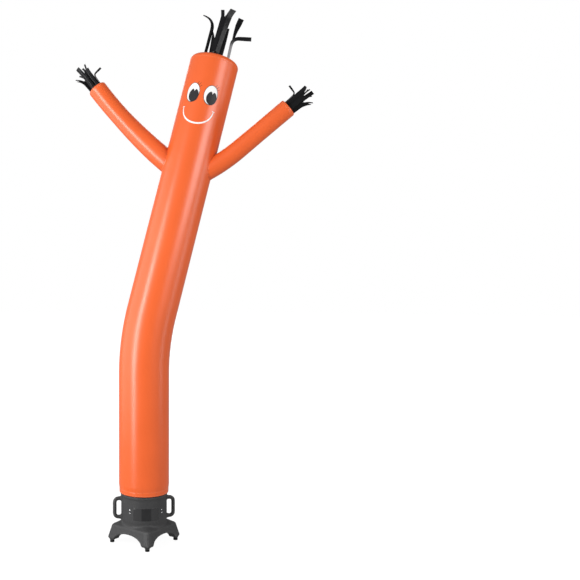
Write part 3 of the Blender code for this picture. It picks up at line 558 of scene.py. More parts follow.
# ---------------------------------------------------------------- ribbons
def ribbon_surface(axes, ribbon, lift, seed):
    """A flat strip that leaves its panel upright, leans and curls over; also its painted reflection (a paler
    root) and its cut area.

    The lean is a smooth step of the distance along; roll turns the face and twist winds it.  Past its split
    the strip is cut into tails, each narrower by its spread, that keep their outer edges and turn apart.
    The strip is folded along its middle, and its tips taper over their last part.
    """
    ribbons = sizes("dancer_ribbons")
    origin, side, depth, up = axes
    random = np.random.default_rng(seed)
    heading = math.radians(ribbon.towards)
    out = math.cos(heading) * side + math.sin(heading) * depth
    flat = np.cross(up, out)
    t = np.linspace(0.0, 1.0, ribbons.stations)
    x = np.linspace(-1.0, 1.0, 9)
    tails, width = ribbon.tails, ribbon.width
    part = np.clip((t - ribbon.split) / max(1.0 - ribbon.split, 1e-6), 0.0, 1.0)
    bent = np.clip((t - ribbon.onset) / ribbon.span, 0.0, 1.0)
    lean = ribbon.lean * np.minimum(t / 0.12, 1.0)
    angle = np.radians(lean + ribbon.curl * bent**2 * (3.0 - 2.0 * bent))
    along = np.sin(angle)[:, None] * out + np.cos(angle)[:, None] * up
    inner = np.cross(flat, along)
    winding = np.radians(ribbon.roll + ribbon.twist * t)
    wide = np.cos(winding)[:, None] * flat + np.sin(winding)[:, None] * inner
    face = np.cos(winding)[:, None] * inner - np.sin(winding)[:, None] * flat
    opening = ribbon.root + (1.0 - ribbon.root) * np.clip(t / 0.85, 0.0, 1.0) ** 2
    wander = 0.05 * width * t * np.sin(TAU * (1.4 * t + random.uniform()))
    strips, painted_reflection, area = [], [], 0.0
    parting = random.choice((0.40, 0.60)) if tails == 2 else 1.0
    for low, high in ((0.0, parting), (parting, 1.0))[:tails]:
        aside, part_width = 0.5 * (low + high) - 0.5, (high - low) * width
        whole = ribbon.length * (1.0 - 0.09 * random.uniform() * (tails - 1))
        step = whole / (len(t) - 1)
        line = origin + ribbon.side * side + ribbon.depth * depth + lift * up
        strides = step * 0.5 * (along[1:] + along[:-1])
        line = line + np.concatenate([np.zeros((1, 3)), np.cumsum(strides, 0)])
        cut = 1.0 - 0.30 * ribbon.spread * np.minimum(part / 0.12, 1.0)
        tip = 1.0 - ribbon.taper * np.clip((t - 0.62) / 0.38, 0.0, 1.0) ** 1.4
        half = 0.5 * part_width * opening * cut * tip
        area += whole * (2.0 * half).mean()
        parted = 0.25 * (1.0 - cut) + 0.5 * ribbon.spread * part**1.3
        apart = width * opening * (aside + math.copysign(1.0, aside) * parted)
        bow = 0.12 * width * part * math.copysign(1.0, aside) + wander
        spine = line + apart[:, None] * wide + bow[:, None] * face
        across = half[:, None] * x
        offset = (apart[:, None] + across) / (0.5 * width)
        crease = ribbon.fold * width * np.minimum(t / 0.1, 1.0)[:, None] * (1.0 - np.abs(offset))
        layers = []
        for sign, order in ((1.0, slice(None)), (-1.0, slice(None, None, -1))):
            raised = (crease + sign * 0.5 * ribbons.thickness)[:, order, None] * face[:, None]
            layers.append(spine[:, None] + across[:, order, None] * wide[:, None] + raised)
        columns = 2 * len(x)
        strips.append(Surface(
            np.concatenate(layers, 1),
            u=np.linspace(0.0, 2.0 * part_width, columns + 1),
            v=np.linspace(0.0, whole, len(t) + 1),
            around=True,
            caps=True,
        ))
        # painted reflection: up to about halfway the root is marked paler, standing for light reflected on
        # the upright stem
        painted_reflection.append(np.repeat(ribbon.pale * np.clip((0.50 - t) / 0.10, 0.0, 1.0), columns))
    return put_together(strips), np.concatenate(painted_reflection), area


def make_ribbons(stem, axes, rows, lift):
    for number, row in enumerate(rows, 1):
        node, ribbon = f"{stem}_{number}", Ribbon(*row)
        surface, pale, area = ribbon_surface(axes, ribbon, lift, sum(map(ord, node)))
        values = {"pale": pale}
        piece = make_piece(f"{node}_ribbon", surface, ribbon_finish(), (node,), values)


# ---------------------------------------------------------------- the face
def face_place(spine, below, across):
    """A function that puts points measured along the cloth onto the filled tube, at a height above it."""
    tube = sizes("dancer_tube")

    def place(x, y, height):
        s = spine.length - below + y
        angle = -0.25 * TAU + tube.turn + (across + x) / tube.radius
        return spine.place(s, angle, tube.radius + height + tube_relief(spine, s, angle))

    return place


def patch_surface(place, outline, base, thickness, rings=12):
    """A patch with a raised stitched bead inside its edge: rings of its outline, out below and in on top."""
    centre = outline.mean(0)
    under = np.linspace(0.02, 1.0, 6)
    share = np.concatenate([under, [1.0], 1.0 - np.linspace(0.0, 0.985, rings)])
    height = base + thickness * (1.0 + 0.7 * hump(share - 0.965, 0.02))
    height[: len(under)] = base
    height[len(under)] = base + 0.6 * thickness
    spots = centre + share[:, None, None] * (outline - centre)[None]
    grid = place(spots[..., 0], spots[..., 1], np.repeat(height[:, None], len(outline), 1))
    u, v = np.linspace(0.0, 1.0, len(outline) + 1), np.append(share, share[-1])
    return Surface(grid, u=u, v=v, around=True, caps=True), np.repeat(share, len(outline))


def ellipse(centre, half_width, half_height, count=96):
    turns = np.arange(count) * TAU / count
    return np.stack([centre[0] + half_width * np.cos(turns), centre[1] + half_height * np.sin(turns)], -1)


def pupil_outline(centre, half_width, half_height, count=128):
    """An ellipse with a narrow bite at its top, where the white shows as a glint."""
    turns = np.arange(count) * TAU / count
    bite = 1.0 - 0.42 * hump(turns - math.radians(88.0), math.radians(11.0))
    return ellipse((0.0, 0.0), half_width, half_height, count) * bite[:, None] + np.array(centre)


def stroke_surface(place, line, half, base, thickness):
    """A sewn stroke: half a round profile carried along a line on the cloth, with the given half widths."""
    ahead = np.gradient(line, axis=0)
    ahead /= np.linalg.norm(ahead, axis=1)[:, None]
    beside = np.stack([-ahead[:, 1], ahead[:, 0]], -1)
    swing = np.linspace(0.0, 0.5 * TAU, 9)
    across = np.concatenate([np.cos(swing), np.linspace(-0.6, 0.6, 4)])
    high = np.concatenate([base + thickness * np.sin(swing) ** 0.6, np.full(4, base)])
    spots = line[:, None] + (half[:, None] * across[None])[..., None] * beside[:, None]
    grid = place(spots[..., 0], spots[..., 1], np.repeat(high[None], len(line), 0))
    u, v = np.linspace(0.0, 0.02, len(across) + 1), np.linspace(0.0, 0.25, len(line) + 1)
    return Surface(grid, u=u, v=v, around=True, caps=True)


def rounded_ends(half, share=0.02):
    """Half widths that close to a round end over the first and last share of the line."""
    t = np.linspace(0.0, 1.0, len(half))
    near = np.clip(np.minimum(t, 1.0 - t) / share, 0.0, 1.0)
    return half * np.sqrt(np.clip(1.0 - (1.0 - near) ** 2, 0.02, 1.0))


def make_patch(name, node, place, outline, stand, box, cut, material, slot, rests_on):
    """A patch laid on the cloth; stand is its height and thickness; cut, its share of its box's area, is not
    used.
    """
    surface, share = patch_surface(place, outline, *stand)
    piece = make_piece(name, surface, material, (node,), {"share": share})


def make_eye(side, across):
    """An eye's white, its pupil, and three lashes that bend away from its edge."""
    face, colours = sizes("dancer_face"), sizes("dancer_finishes")
    place = face_place(tube_spine(), face.eyes_below, across)
    half_width, half_height = face.eye_half_width, face.eye_half_height
    outline, box = ellipse((0.0, 0.0), half_width, half_height), (2.0 * half_width, 2.0 * half_height)
    white = patch_finish("patch_white_outlined", colours.white, True)
    names, stand = (f"eye_{side}", f"eye_white_{side}"), (0.0004, 0.0007)
    make_patch(*names, place, outline, stand, box, 0.785, white, "patch_white", "tube_cloth")
    outline = pupil_outline((0.0085, -0.0175), face.pupil_half_width, face.pupil_half_height)
    box = (2.0 * face.pupil_half_width, 2.0 * face.pupil_half_height)
    dark = patch_finish("patch_dark", colours.pupil)
    names, stand = (f"pupil_{side}_patch", f"pupil_{side}"), (0.0013, 0.0006)
    make_patch(*names, place, outline, stand, box, 0.75, dark, "patch_black", f"eye_{side}")
    lashes, t = [], np.linspace(0.0, 1.0, 16)
    half = rounded_ends(0.0015 * (1.0 - 0.5 * t), 0.05)
    for angle, reach in ((38.0, 0.016), (52.0, 0.019), (66.0, 0.016)):
        turn = math.radians(angle)
        edge = np.array([half_width * math.cos(turn), half_height * math.sin(turn)])
        away = np.array([math.cos(turn), 0.9 * math.sin(turn)])
        line = edge + t[:, None] * reach * away + (0.004 * t**2)[:, None] * np.array([0.6, 0.8])
        lashes.append(stroke_surface(place, line, half, 0.0002, 0.0006))
    make_piece(f"lashes_{side}", put_together(lashes), dark)


def make_smile():
    """The smile: half an ellipse that thins towards its ends, each crossed by a short tick."""
    face = sizes("dancer_face")
    place = face_place(tube_spine(), face.smile_below, 0.0)
    swing = np.radians(np.linspace(-88.0, 88.0, 120))
    line = np.stack([face.smile_half_width * np.sin(swing), -face.smile_drop * np.cos(swing)], -1)
    half = rounded_ends(face.smile_stroke * (0.24 + 0.26 * np.cos(swing)))
    strokes = [stroke_surface(place, line, half, 0.0004, 0.0010)]
    t = np.linspace(-1.0, 1.0, 24)
    half = rounded_ends(np.full(24, 0.0022), 0.1)
    for side in (-1.0, 1.0):
        end = np.array([side * face.smile_half_width, 0.0])
        tick = end + np.stack([0.0085 * t * side, -0.0015 * t + 0.0025 * t**2], -1)
        strokes.append(stroke_surface(place, tick, half, 0.0004, 0.0012))
    white = patch_finish("patch_white_plain", sizes("dancer_finishes").white)
    piece = make_piece("smile_patch", put_together(strokes), white, ("smile",))


# ---------------------------------------------------------------- the blower's housing
def drum_profile(z):
    """The drum's outside radius by height: a plain wall with two shallow ribs, each half a cosine wave."""
    blower = sizes("dancer_blower")
    radius = np.full_like(z, blower.drum)
    for height in (blower.rib_low, blower.rib_high):
        near = np.clip(np.abs(z - height) / blower.rib_half, 0.0, 1.0)
        radius = radius + blower.rib_rise * (0.5 + 0.5 * np.cos(math.pi * near))
    return radius


def welded(node):
    """A solid's points and triangles with its doubled points made one."""
    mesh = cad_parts[node].data
    points = np.empty(len(mesh.vertices) * 3)
    mesh.vertices.foreach_get("co", points)
    mesh.calc_loop_triangles()
    faces = np.empty(len(mesh.loop_triangles) * 3, int)
    mesh.loop_triangles.foreach_get("vertices", faces)
    points, index = np.unique(np.round(points.reshape(-1, 3), 6), axis=0, return_inverse=True)
    faces = index.reshape(-1)[faces.reshape(-1, 3)]
    whole = (faces[:, 0] != faces[:, 1]) & (faces[:, 1] != faces[:, 2]) & (faces[:, 0] != faces[:, 2])
    return points, faces[whole]


def remeshed(points, faces, step):
    """Points and quads of an even grid of small faces over a closed shape."""
    mesh = bpy.data.meshes.new("moulding_draft")
    mesh.from_pydata(points.tolist(), [], faces.tolist())
    draft = add_object("moulding_draft", mesh)
    change = draft.modifiers.new("Even grid", "REMESH")
    change.mode = "VOXEL"
    change.voxel_size = step
    graph = bpy.context.evaluated_depsgraph_get()
    found = bpy.data.meshes.new_from_object(draft.evaluated_get(graph))
    points = np.empty(len(found.vertices) * 3)
    found.vertices.foreach_get("co", points)
    corners = np.empty(len(found.loops), int)
    found.loops.foreach_get("vertex_index", corners)
    if len(corners) != 4 * len(found.polygons):
        raise RuntimeError("the remesh should give quads only")
    bpy.data.objects.remove(draft)
    bpy.data.meshes.remove(mesh)
    bpy.data.meshes.remove(found)
    return points.reshape(-1, 3), corners.reshape(-1, 4)


def neighbour_means(quads, count):
    """A function that gives, for each point, the mean of a value over the points it shares an edge with."""
    first = quads.ravel()
    second = np.roll(quads, -1, 1).ravel()
    ends, others = np.concatenate([first, second]), np.concatenate([second, first])
    total = np.bincount(ends, minlength=count)

    def means(values):
        sums = [np.bincount(ends, weights=column[others], minlength=count) for column in values.T]
        return np.stack(sums, -1) / total[:, None]

    return means


def housing_surface():
    """The moulding: an even skin over the solid, eased smooth, trued round where it is turned.

    Smoothing moves each point towards and then away from its neighbours' mean, so edges round off and the
    shape keeps its size.  How far a point stands out of its neighbours' mean gives the wear on edges.
    """
    blower = sizes("dancer_blower")
    points, quads = remeshed(*welded("blower_housing"), blower.voxel)
    means = neighbour_means(quads, len(points))
    rounds, towards, away, reach, worn = 180, 0.60, 0.61, 0.0016, 0.072
    for _ in range(rounds):
        points = points + towards * (means(points) - points)
        points = points - away * (means(points) - points)
    plan = points[:, :2] - AXIS[:2]
    radius, z = np.linalg.norm(plan, axis=1), points[:, 2]
    for wanted, low, high in (
        (drum_profile(z), 0.150, blower.rim_top - 0.0035),
        (np.full_like(z, blower.duct), 0.100, blower.guard_seat - 0.003),
    ):
        nearness = np.clip(1.0 - np.abs(radius - wanted) / reach, 0.0, 1.0)
        share = np.minimum(nearness * 2.5, 1.0) * ((z > low) & (z < high))
        scale = 1.0 + share * (wanted - radius) / np.maximum(radius, 1e-6)
        points[:, :2] = AXIS[:2] + plan * scale[:, None]
    corners = points[quads]
    normal = np.cross(corners[:, 2] - corners[:, 0], corners[:, 3] - corners[:, 1])
    normals = np.zeros_like(points)
    for k in range(4):
        np.add.at(normals, quads[:, k], normal)
    normals /= np.maximum(np.linalg.norm(normals, axis=1), 1e-12)[:, None]
    standing = ((points - means(points)) * normals).sum(1, keepdims=True) / blower.voxel
    for _ in range(2):
        standing = means(standing)
    return Surface.from_quads(points, quads), np.clip(standing[:, 0] / worn, 0.0, 1.0)


# ---------------------------------------------------------------- small parts
def band_surface():
    """Hook tape round the drum: a flat profile with rounded edges carried round, its ends lapped."""
    low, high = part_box("hook_band")
    skin, columns = sizes("dancer_blower").drum + GAP, 361
    turns = np.linspace(0.0, TAU, columns)[:-1]
    lap_start = np.clip((turns - math.radians(17.0)) / 0.004, 0.0, 1.0)
    lap = 0.0009 * lap_start * np.clip((math.radians(46.0) - turns) / 0.3, 0.0, 1.0)
    z, r = strip_profile(low.z, high.z, (0.0, 0.0, 0.0006, 0.002), (0.0, 0.0013, 0.0018, 0.0021))
    ripple = 0.00012 * waves(turns, (13, 29, 41), 6)
    out = np.where(r > 0.0, 1.0, 0.0)[None] * (lap + ripple)[:, None]
    radius = skin + r[None] + out
    points = AXIS + radius[..., None] * from_front(turns)[:, None] + z[None, :, None] * UP
    v = np.linspace(0.0, TAU * skin, columns)
    return Surface(points, u=np.concatenate([z - low.z, [0.0]]), v=v, around=True, loop=True)


def band_stitch_surface():
    """A short upright row of stitches with a cross stitch at each end, lying on the tape."""
    angle, tape = math.radians(18.2), 0.0031
    skin = sizes("dancer_blower").drum + GAP + tape
    low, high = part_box("hook_band")
    out, beside = from_front(angle), from_front(angle + 0.25 * TAU)
    foot = AXIS + skin * out + 0.5 * (low.z + high.z) * UP
    runs = [((0.0, z - 0.0011), (0.0, z + 0.0011)) for z in np.linspace(-0.0058, 0.0058, 5)]
    runs += [((-0.0012, z), (0.0012, z)) for z in (-0.0074, 0.0074)]
    t = np.linspace(-1.0, 1.0, 7)
    stitches = []
    for (x0, z0), (x1, z1) in runs:
        line = foot + (0.5 * (x0 + x1) + 0.5 * (x1 - x0) * t)[:, None] * beside
        line = line + (0.5 * (z0 + z1) + 0.5 * (z1 - z0) * t)[:, None] * UP - (0.0003 * t**2)[:, None] * out
        ahead = (line[-1] - line[0]) / np.linalg.norm(line[-1] - line[0])
        side = np.cross(ahead, out)
        turns = np.arange(6) * TAU / 6
        radius = 0.00038 * np.sqrt(1.0 - 0.8 * t**2)
        ring = np.cos(turns)[:, None] * side + np.sin(turns)[:, None] * out
        stitches.append(Surface(line[:, None] + radius[:, None, None] * ring[None], around=True, caps=True))
    return put_together(stitches)


def plate_surface():
    """The blank plate: a thin profile with rounded edges bent round the drum, its ends rounded too."""
    low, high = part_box("label_plate")
    half_angle, rounding = math.radians(32.7), 0.008
    skin, thick, edge = sizes("dancer_blower").drum + GAP, 0.0012, 0.0007
    t = stepped(0.0, (rounding, 3), (1.0 - rounding, 59), (1.0, 3))
    angle = half_angle * (2.0 * t - 1.0)
    near_end = np.clip(np.minimum(t, 1.0 - t) / rounding, 0.0, 1.0)
    closing = np.sqrt(np.clip(1.0 - (1.0 - near_end) ** 2, 0.0, 1.0))
    z, r = strip_profile(low.z, high.z, (0.0, 0.0, 0.3 * edge, edge, 2 * edge), (0.0, 0.45, 0.8, 1.0, 1.0))
    radius = skin + r[None] * thick * (0.35 + 0.65 * closing[:, None])
    points = AXIS + radius[..., None] * from_front(angle)[:, None] + z[None, :, None] * UP
    u, v = np.append(z - low.z, 0.0), np.append(angle, angle[-1]) * skin
    return Surface(points, u=u, v=v, around=True, caps=True)


def rivet_surface(node):
    """A domed head: part of a ball over a thin rolled edge."""
    centre = middle(node)
    out = (centre - AXIS) * (1.0, 1.0, 0.0)
    out /= np.linalg.norm(out)
    foot = AXIS + (sizes("dancer_blower").drum + GAP) * out + centre[2] * UP
    swing, head, dome, tip = np.linspace(0.0, 0.25 * TAU, 9), 0.0043, 0.0021, 0.0002
    rolled = zip(0.0003 + dome * np.sin(swing), np.maximum(head * np.cos(swing), tip))
    return turned([(0.0, head), *rolled], foot, out, 28)


def bolt_surface(node):
    """A round-headed bolt lying across the rim, with a washer's step and a socket in its head."""
    centre = middle(node)
    out = (centre - AXIS) * (1.0, 1.0, 0.0)
    reach = np.linalg.norm(out)
    half, shank, washer, head, socket = 0.0055, 0.0024, 0.0042, 0.0036, 0.0014
    profile = (
        (-half, shank), (0.15 * half, shank), (0.15 * half, washer - 0.0001), (0.30 * half, washer),
        (0.34 * half, head), (0.75 * half, head - 0.0001), (half - 0.0002, head - 0.0008),
        (half, socket + 0.0005), (half, socket + 0.0002), (half - 0.0012, socket),
    )
    return turned(profile, centre, out / reach, 24)


def guard_surface():
    """The outlet's guard: rings of wire on crossed bars, and a waved wire woven between the outer rings."""
    blower = sizes("dancer_blower")
    low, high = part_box("outlet_guard")
    level, wire = 0.5 * (low.z + high.z), 0.5 * blower.wire
    inner, outer, spaces, bends = 0.016, 0.5 * (high.x - low.x) - wire, 10, 48.0
    below, woven, above = (AXIS + (level + lift * wire) * UP for lift in (-0.35, 0.55, 0.6))
    turns = np.linspace(0.0, TAU, 97)[:-1]
    wires = []
    for radius in np.linspace(inner, outer, spaces + 1):
        wires.append(tube_along(below + radius * from_front(turns), 0.62 * wire, 6))
    weave = np.linspace(0.0, TAU, 769)[:-1]
    step = (outer - inner) / spaces
    wander = outer - 1.5 * step + 1.5 * step * np.cos(bends * weave)
    wires.append(tube_along(woven + wander[:, None] * from_front(weave), 0.42 * wire, 5))
    for angle in np.radians([-15.0, 44.0, 75.0, 134.0]):
        line = above + np.linspace(-1.0, 1.0, 9)[:, None] * outer * from_front(angle)
        wires.append(tube_along(line, 0.8 * wire, 8, closed=False))
    return put_together(wires)


def foot_surface(node):
    """A round rubber foot: straight sides with a groove, and rounded edges above and below."""
    low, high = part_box(node)
    centre = middle(node) * (1.0, 1.0, 0.0)
    radius, top = 0.5 * (high.x - low.x), high.z
    groove, lower, upper = radius - 0.0006, 0.0016, 0.0014
    profile = (
        (0.0, 0.70 * radius), (0.0, radius - lower), (0.0005, radius - 0.0005), (lower, radius),
        (0.45 * top, radius), (0.50 * top, groove), (0.56 * top, groove), (0.61 * top, radius),
        (top - upper, radius), (top - 0.0004, radius - 0.0004), (top, radius - upper), (top, 0.6 * radius),
    )
    return turned(profile, centre, UP, 48)


# ---------------------------------------------------------------- finishes
class Wiring:
    """Adds nodes to a tree in columns and joins their sockets."""

    def __init__(self, tree):
        self.tree, self.count = tree, 0

    def node(self, kind, settings=None, **sockets):
        item = self.tree.nodes.new(kind)
        item.location = (190.0 * (self.count // 4) - 1600.0, -230.0 * (self.count % 4))
        self.count += 1
        for key, value in (settings or {}).items():
            setattr(item, key, value)
        for key, value in sockets.items():
            self.feed(item.inputs[key.replace("_", " ")], value)
        return item

    def feed(self, socket, value):
        if isinstance(value, bpy.types.NodeSocket):
            self.tree.links.new(value, socket)
        else:
            socket.default_value = value

    def math(self, operation, *values, clamp=False):
        item = self.node("ShaderNodeMath", {"operation": operation, "use_clamp": clamp})
        for socket, value in zip(item.inputs, values):
            self.feed(socket, value)
        return item.outputs[0]

    def mix(self, factor, first, second, blend="MIX"):
        item = self.node("ShaderNodeMix", {"data_type": "RGBA", "blend_type": blend})
        self.feed(item.inputs[0], factor)
        self.feed(item.inputs[6], first)
        self.feed(item.inputs[7], second)
        return item.outputs[2]

    def spread(self, value, low, high, to_low=0.0, to_high=1.0):
        """The value, stretched from one range to another and held inside it."""
        limits = dict(From_Min=low, From_Max=high, To_Min=to_low, To_Max=to_high)
        return self.node("ShaderNodeMapRange", {"clamp": True}, Value=value, **limits).outputs[0]

    def noise(self, vector, scale, detail=3.0, roughness=0.5):
        settings = dict(Scale=scale, Detail=detail, Roughness=roughness)
        return self.node("ShaderNodeTexNoise", Vector=vector, **settings).outputs[0]

    def bump(self, height, strength, distance, normal=None):
        item = self.node("ShaderNodeBump", Strength=strength, Distance=distance, Height=height)
        if normal is not None:
            self.feed(item.inputs["Normal"], normal)
        return item.outputs[0]

    def axes(self, vector):
        """The X, Y and Z of a vector."""
        return self.node("ShaderNodeSeparateXYZ", Vector=vector).outputs

    def attribute(self, name):
        return self.node("ShaderNodeAttribute", {"attribute_name": name}).outputs["Fac"]

    def cloth(self):
        """Places in metres along and across the cloth."""
        return self.node("ShaderNodeUVMap", {"uv_map": "cloth"}).outputs[0]

    def place(self):
        return self.node("ShaderNodeTexCoord").outputs["Object"]

    def stretched(self, vector, scale):
        item = self.node("ShaderNodeMapping", Vector=vector)
        item.inputs["Scale"].default_value = scale
        return item.outputs[0]

    def use(self, tree, **sockets):
        """A node group placed here, with values for its inputs."""
        item = self.node("ShaderNodeGroup")
        item.node_tree = tree
        for key, value in sockets.items():
            self.feed(item.inputs[key], value)
        return item.outputs


def grey(value):
    return (value, value, value, 1.0)


def group(name, inputs, outputs, fill):
    """A shader node group, made once; fill(wiring, inputs) returns its outputs by name."""
    found = bpy.data.node_groups.get(name)
    if found:
        return found
    tree = bpy.data.node_groups.new(name, "ShaderNodeTree")
    for label, (kind, default) in inputs.items():
        socket = tree.interface.new_socket(name=label, in_out="INPUT", socket_type=kind)
        if default is not None:
            socket.default_value = default
    for label in outputs:
        tree.interface.new_socket(name=label, in_out="OUTPUT", socket_type="NodeSocketFloat")
    wiring = Wiring(tree)
    start, end = wiring.node("NodeGroupInput"), tree.nodes.new("NodeGroupOutput")
    for label, value in fill(wiring, start.outputs).items():
        wiring.feed(end.inputs[label], value)
    return tree


def ripstop_group():
    """Fine plain weave with a heavier thread each square: the threads are waves along the cloth."""

    def fill(wiring, inputs):
        parts = wiring.axes(inputs["Place"])
        pitch, heavy = 0.00055, 0.00045
        threads, ribs = [], []
        for axis in ("X", "Y"):
            fine = wiring.math("SINE", wiring.math("MULTIPLY", parts[axis], TAU / pitch))
            threads.append(fine)
            half_square = wiring.math("MULTIPLY", inputs["Square"], 0.5)
            across = wiring.math("PINGPONG", parts[axis], half_square)
            ribs.append(wiring.spread(across, 0.0, heavy, 1.0, 0.0))
        weave = wiring.math("MULTIPLY", *threads)
        rib = wiring.math("MAXIMUM", *ribs)
        height = wiring.math("MULTIPLY_ADD", weave, 0.3, rib)
        return {"Height": height, "Rib": rib}

    return group(
        "Ripstop weave",
        {"Place": ("NodeSocketVector", None), "Square": ("NodeSocketFloat", 0.006)},
        ("Height", "Rib"),
        fill,
    )


def stitch_group():
    """A row of stitches at zero distance: a narrow band, cut into dashes, in a shallow groove."""

    def fill(wiring, inputs):
        off = wiring.math("ABSOLUTE", inputs["Distance"])
        band = wiring.spread(off, 0.0004, 0.0010, 1.0, 0.0)
        beat = wiring.math("FRACT", wiring.math("DIVIDE", inputs["Run"], inputs["Pitch"]))
        from_middle = wiring.math("ABSOLUTE", wiring.math("SUBTRACT", beat, 0.5))
        dash = wiring.spread(from_middle, 0.30, 0.40, 1.0, 0.0)
        thread = wiring.math("MULTIPLY", band, dash)
        groove = wiring.spread(off, 0.0004, 0.0040, 1.0, 0.0)
        height = wiring.math("SUBTRACT", thread, groove)
        return {"Thread": thread, "Height": height}

    return group(
        "Stitch row",
        {
            "Distance": ("NodeSocketFloat", 0.0),
            "Run": ("NodeSocketFloat", 0.0),
            "Pitch": ("NodeSocketFloat", 0.0035),
        },
        ("Thread", "Height"),
        fill,
    )


def grain_group():
    """Moulded grain: two sizes of soft cells for the surface, and a slow drift of tone."""

    def fill(wiring, inputs):
        coarse = wiring.noise(inputs["Place"], wiring.math("DIVIDE", 1.0, inputs["Grain"]), 2.0)
        fine = wiring.noise(inputs["Place"], wiring.math("DIVIDE", 3.2, inputs["Grain"]), 1.0)
        drift = wiring.noise(inputs["Place"], 7.0, 3.0)
        return {"Height": wiring.math("MULTIPLY_ADD", fine, 0.4, coarse), "Drift": drift}

    return group(
        "Moulded grain",
        {"Place": ("NodeSocketVector", None), "Grain": ("NodeSocketFloat", 0.0016)},
        ("Height", "Drift"),
        fill,
    )


def wear_group():
    """Rubbed edges: where the edge value is high, broken up by patchy noise."""

    def fill(wiring, inputs):
        patches = wiring.noise(inputs["Place"], 38.0, 5.0, 0.62)
        rub = wiring.math("MULTIPLY", inputs["Edge"], wiring.spread(patches, 0.38, 0.66))
        return {"Wear": wiring.math("MULTIPLY", rub, inputs["Amount"], clamp=True)}

    return group(
        "Edge wear",
        {
            "Place": ("NodeSocketVector", None),
            "Edge": ("NodeSocketFloat", 0.0),
            "Amount": ("NodeSocketFloat", 0.5),
        },
        ("Wear",),
        fill,
    )


def finish(name, base, roughness, build, **constants):
    """A material by name, made once; build(wiring) gives what varies over the surface, by socket."""
    found = bpy.data.materials.get(name)
    if found:
        return found
    material = bpy.data.materials.new(name)
    material.use_nodes = True
    wiring = Wiring(material.node_tree)
    shader = material.node_tree.nodes["Principled BSDF"]
    shader.inputs["Base Color"].default_value = base
    shader.inputs["Roughness"].default_value = roughness
    for key, value in constants.items():
        shader.inputs[key.replace("_", " ")].default_value = value
    for key, value in build(wiring).items():
        wiring.feed(shader.inputs[key], value)
    return material


def nylon_finish(name, rows):
    """Orange ripstop: its weave, stitch rows at set distances along the cloth, and a lengthwise pair."""
    colours = sizes("dancer_finishes")
    rib_tint, thread_tint = (0.60, 0.07, 0.015, 1.0), (0.95, 0.26, 0.10, 1.0)

    def build(wiring):
        place = wiring.cloth()
        weave = wiring.use(ripstop_group(), Place=place)
        parts = wiring.axes(place)
        stitching = [(parts["Y"], row, parts["X"]) for row in rows]
        stitching += [(parts["X"], offset, parts["Y"]) for offset in (0.003, 0.010)]
        threads, heights = [], []
        for across, offset, run in stitching:
            row = wiring.use(stitch_group(), Distance=wiring.math("SUBTRACT", across, offset), Run=run)
            threads.append(row["Thread"])
            heights.append(row["Height"])
        thread = reduce(lambda first, second: wiring.math("MAXIMUM", first, second), threads)
        height = reduce(lambda first, second: wiring.math("ADD", first, second), heights)
        slow = wiring.noise(wiring.place(), 3.2, 2.0)
        tone = wiring.mix(wiring.spread(slow, 0.3, 0.7), grey(0.97), grey(1.03))
        base = wiring.mix(1.0, colours.nylon, tone, "MULTIPLY")
        base = wiring.mix(wiring.math("MULTIPLY", weave["Rib"], 0.10), base, rib_tint)
        soft = wiring.bump(wiring.noise(wiring.place(), 26.0, 2.0), 0.10, 0.002)
        woven = wiring.bump(weave["Height"], 0.05, 0.0002, soft)
        return {
            "Base Color": wiring.mix(wiring.math("MULTIPLY", thread, 0.75), base, thread_tint),
            "Roughness": wiring.spread(slow, 0.3, 0.7, 0.29, 0.34),
            "Normal": wiring.bump(height, 0.8, 0.0006, woven),
        }

    return finish(name, colours.nylon, 0.40, build, Specular_IOR_Level=0.55)


def ribbon_finish():
    """Black film: streaks along the strip, slow crumples, and a paler root where it is marked so, a painted
    reflection of the light on the upright stem.
    """
    colours = sizes("dancer_finishes")
    streak_tint, root_reflection_tint = (0.012, 0.012, 0.013, 1.0), (0.24, 0.24, 0.25, 1.0)

    def build(wiring):
        streaks = wiring.noise(wiring.stretched(wiring.cloth(), (900.0, 14.0, 1.0)), 1.0, 3.0)
        crumple = wiring.noise(wiring.place(), 60.0, 3.0, 0.6)
        base = wiring.mix(wiring.spread(streaks, 0.35, 0.75), colours.ribbon, streak_tint)
        return {
            # painted reflection: the marked root is painted grey, as if it reflected the light
            "Base Color": wiring.mix(wiring.attribute("pale"), base, root_reflection_tint),
            "Roughness": wiring.spread(crumple, 0.3, 0.7, 0.24, 0.38),
            "Normal": wiring.bump(crumple, 0.35, 0.0020, wiring.bump(streaks, 0.15, 0.0003)),
        }

    return finish("ribbon_black_film", colours.ribbon, 0.30, build, Specular_IOR_Level=0.16)


def patch_finish(name, base, outline=False):
    """Sewn patch cloth with a stitched edge; the eyes also have a thin dark line inside the edge."""
    colours = sizes("dancer_finishes")

    def build(wiring):
        parts = wiring.axes(wiring.cloth())
        weft = wiring.noise(wiring.place(), 900.0, 2.0)
        shaded = (0.5 * base[0], 0.5 * base[1], 0.5 * base[2], 1.0)
        shade = wiring.mix(wiring.spread(weft, 0.3, 0.7, 0.0, 0.10), base, shaded)
        if outline:
            line = wiring.spread(wiring.attribute("share"), 0.945, 0.955)
            shade = wiring.mix(line, shade, colours.pupil)
        satin = wiring.math("SINE", wiring.math("MULTIPLY", parts["X"], TAU * 260.0))
        return {
            "Base Color": shade,
            "Roughness": wiring.spread(weft, 0.3, 0.7, 0.42, 0.55),
            "Normal": wiring.bump(wiring.math("MULTIPLY_ADD", satin, 0.15, weft), 0.12, 0.0004),
        }

    return finish(name, base, 0.48, build, Specular_IOR_Level=0.25)


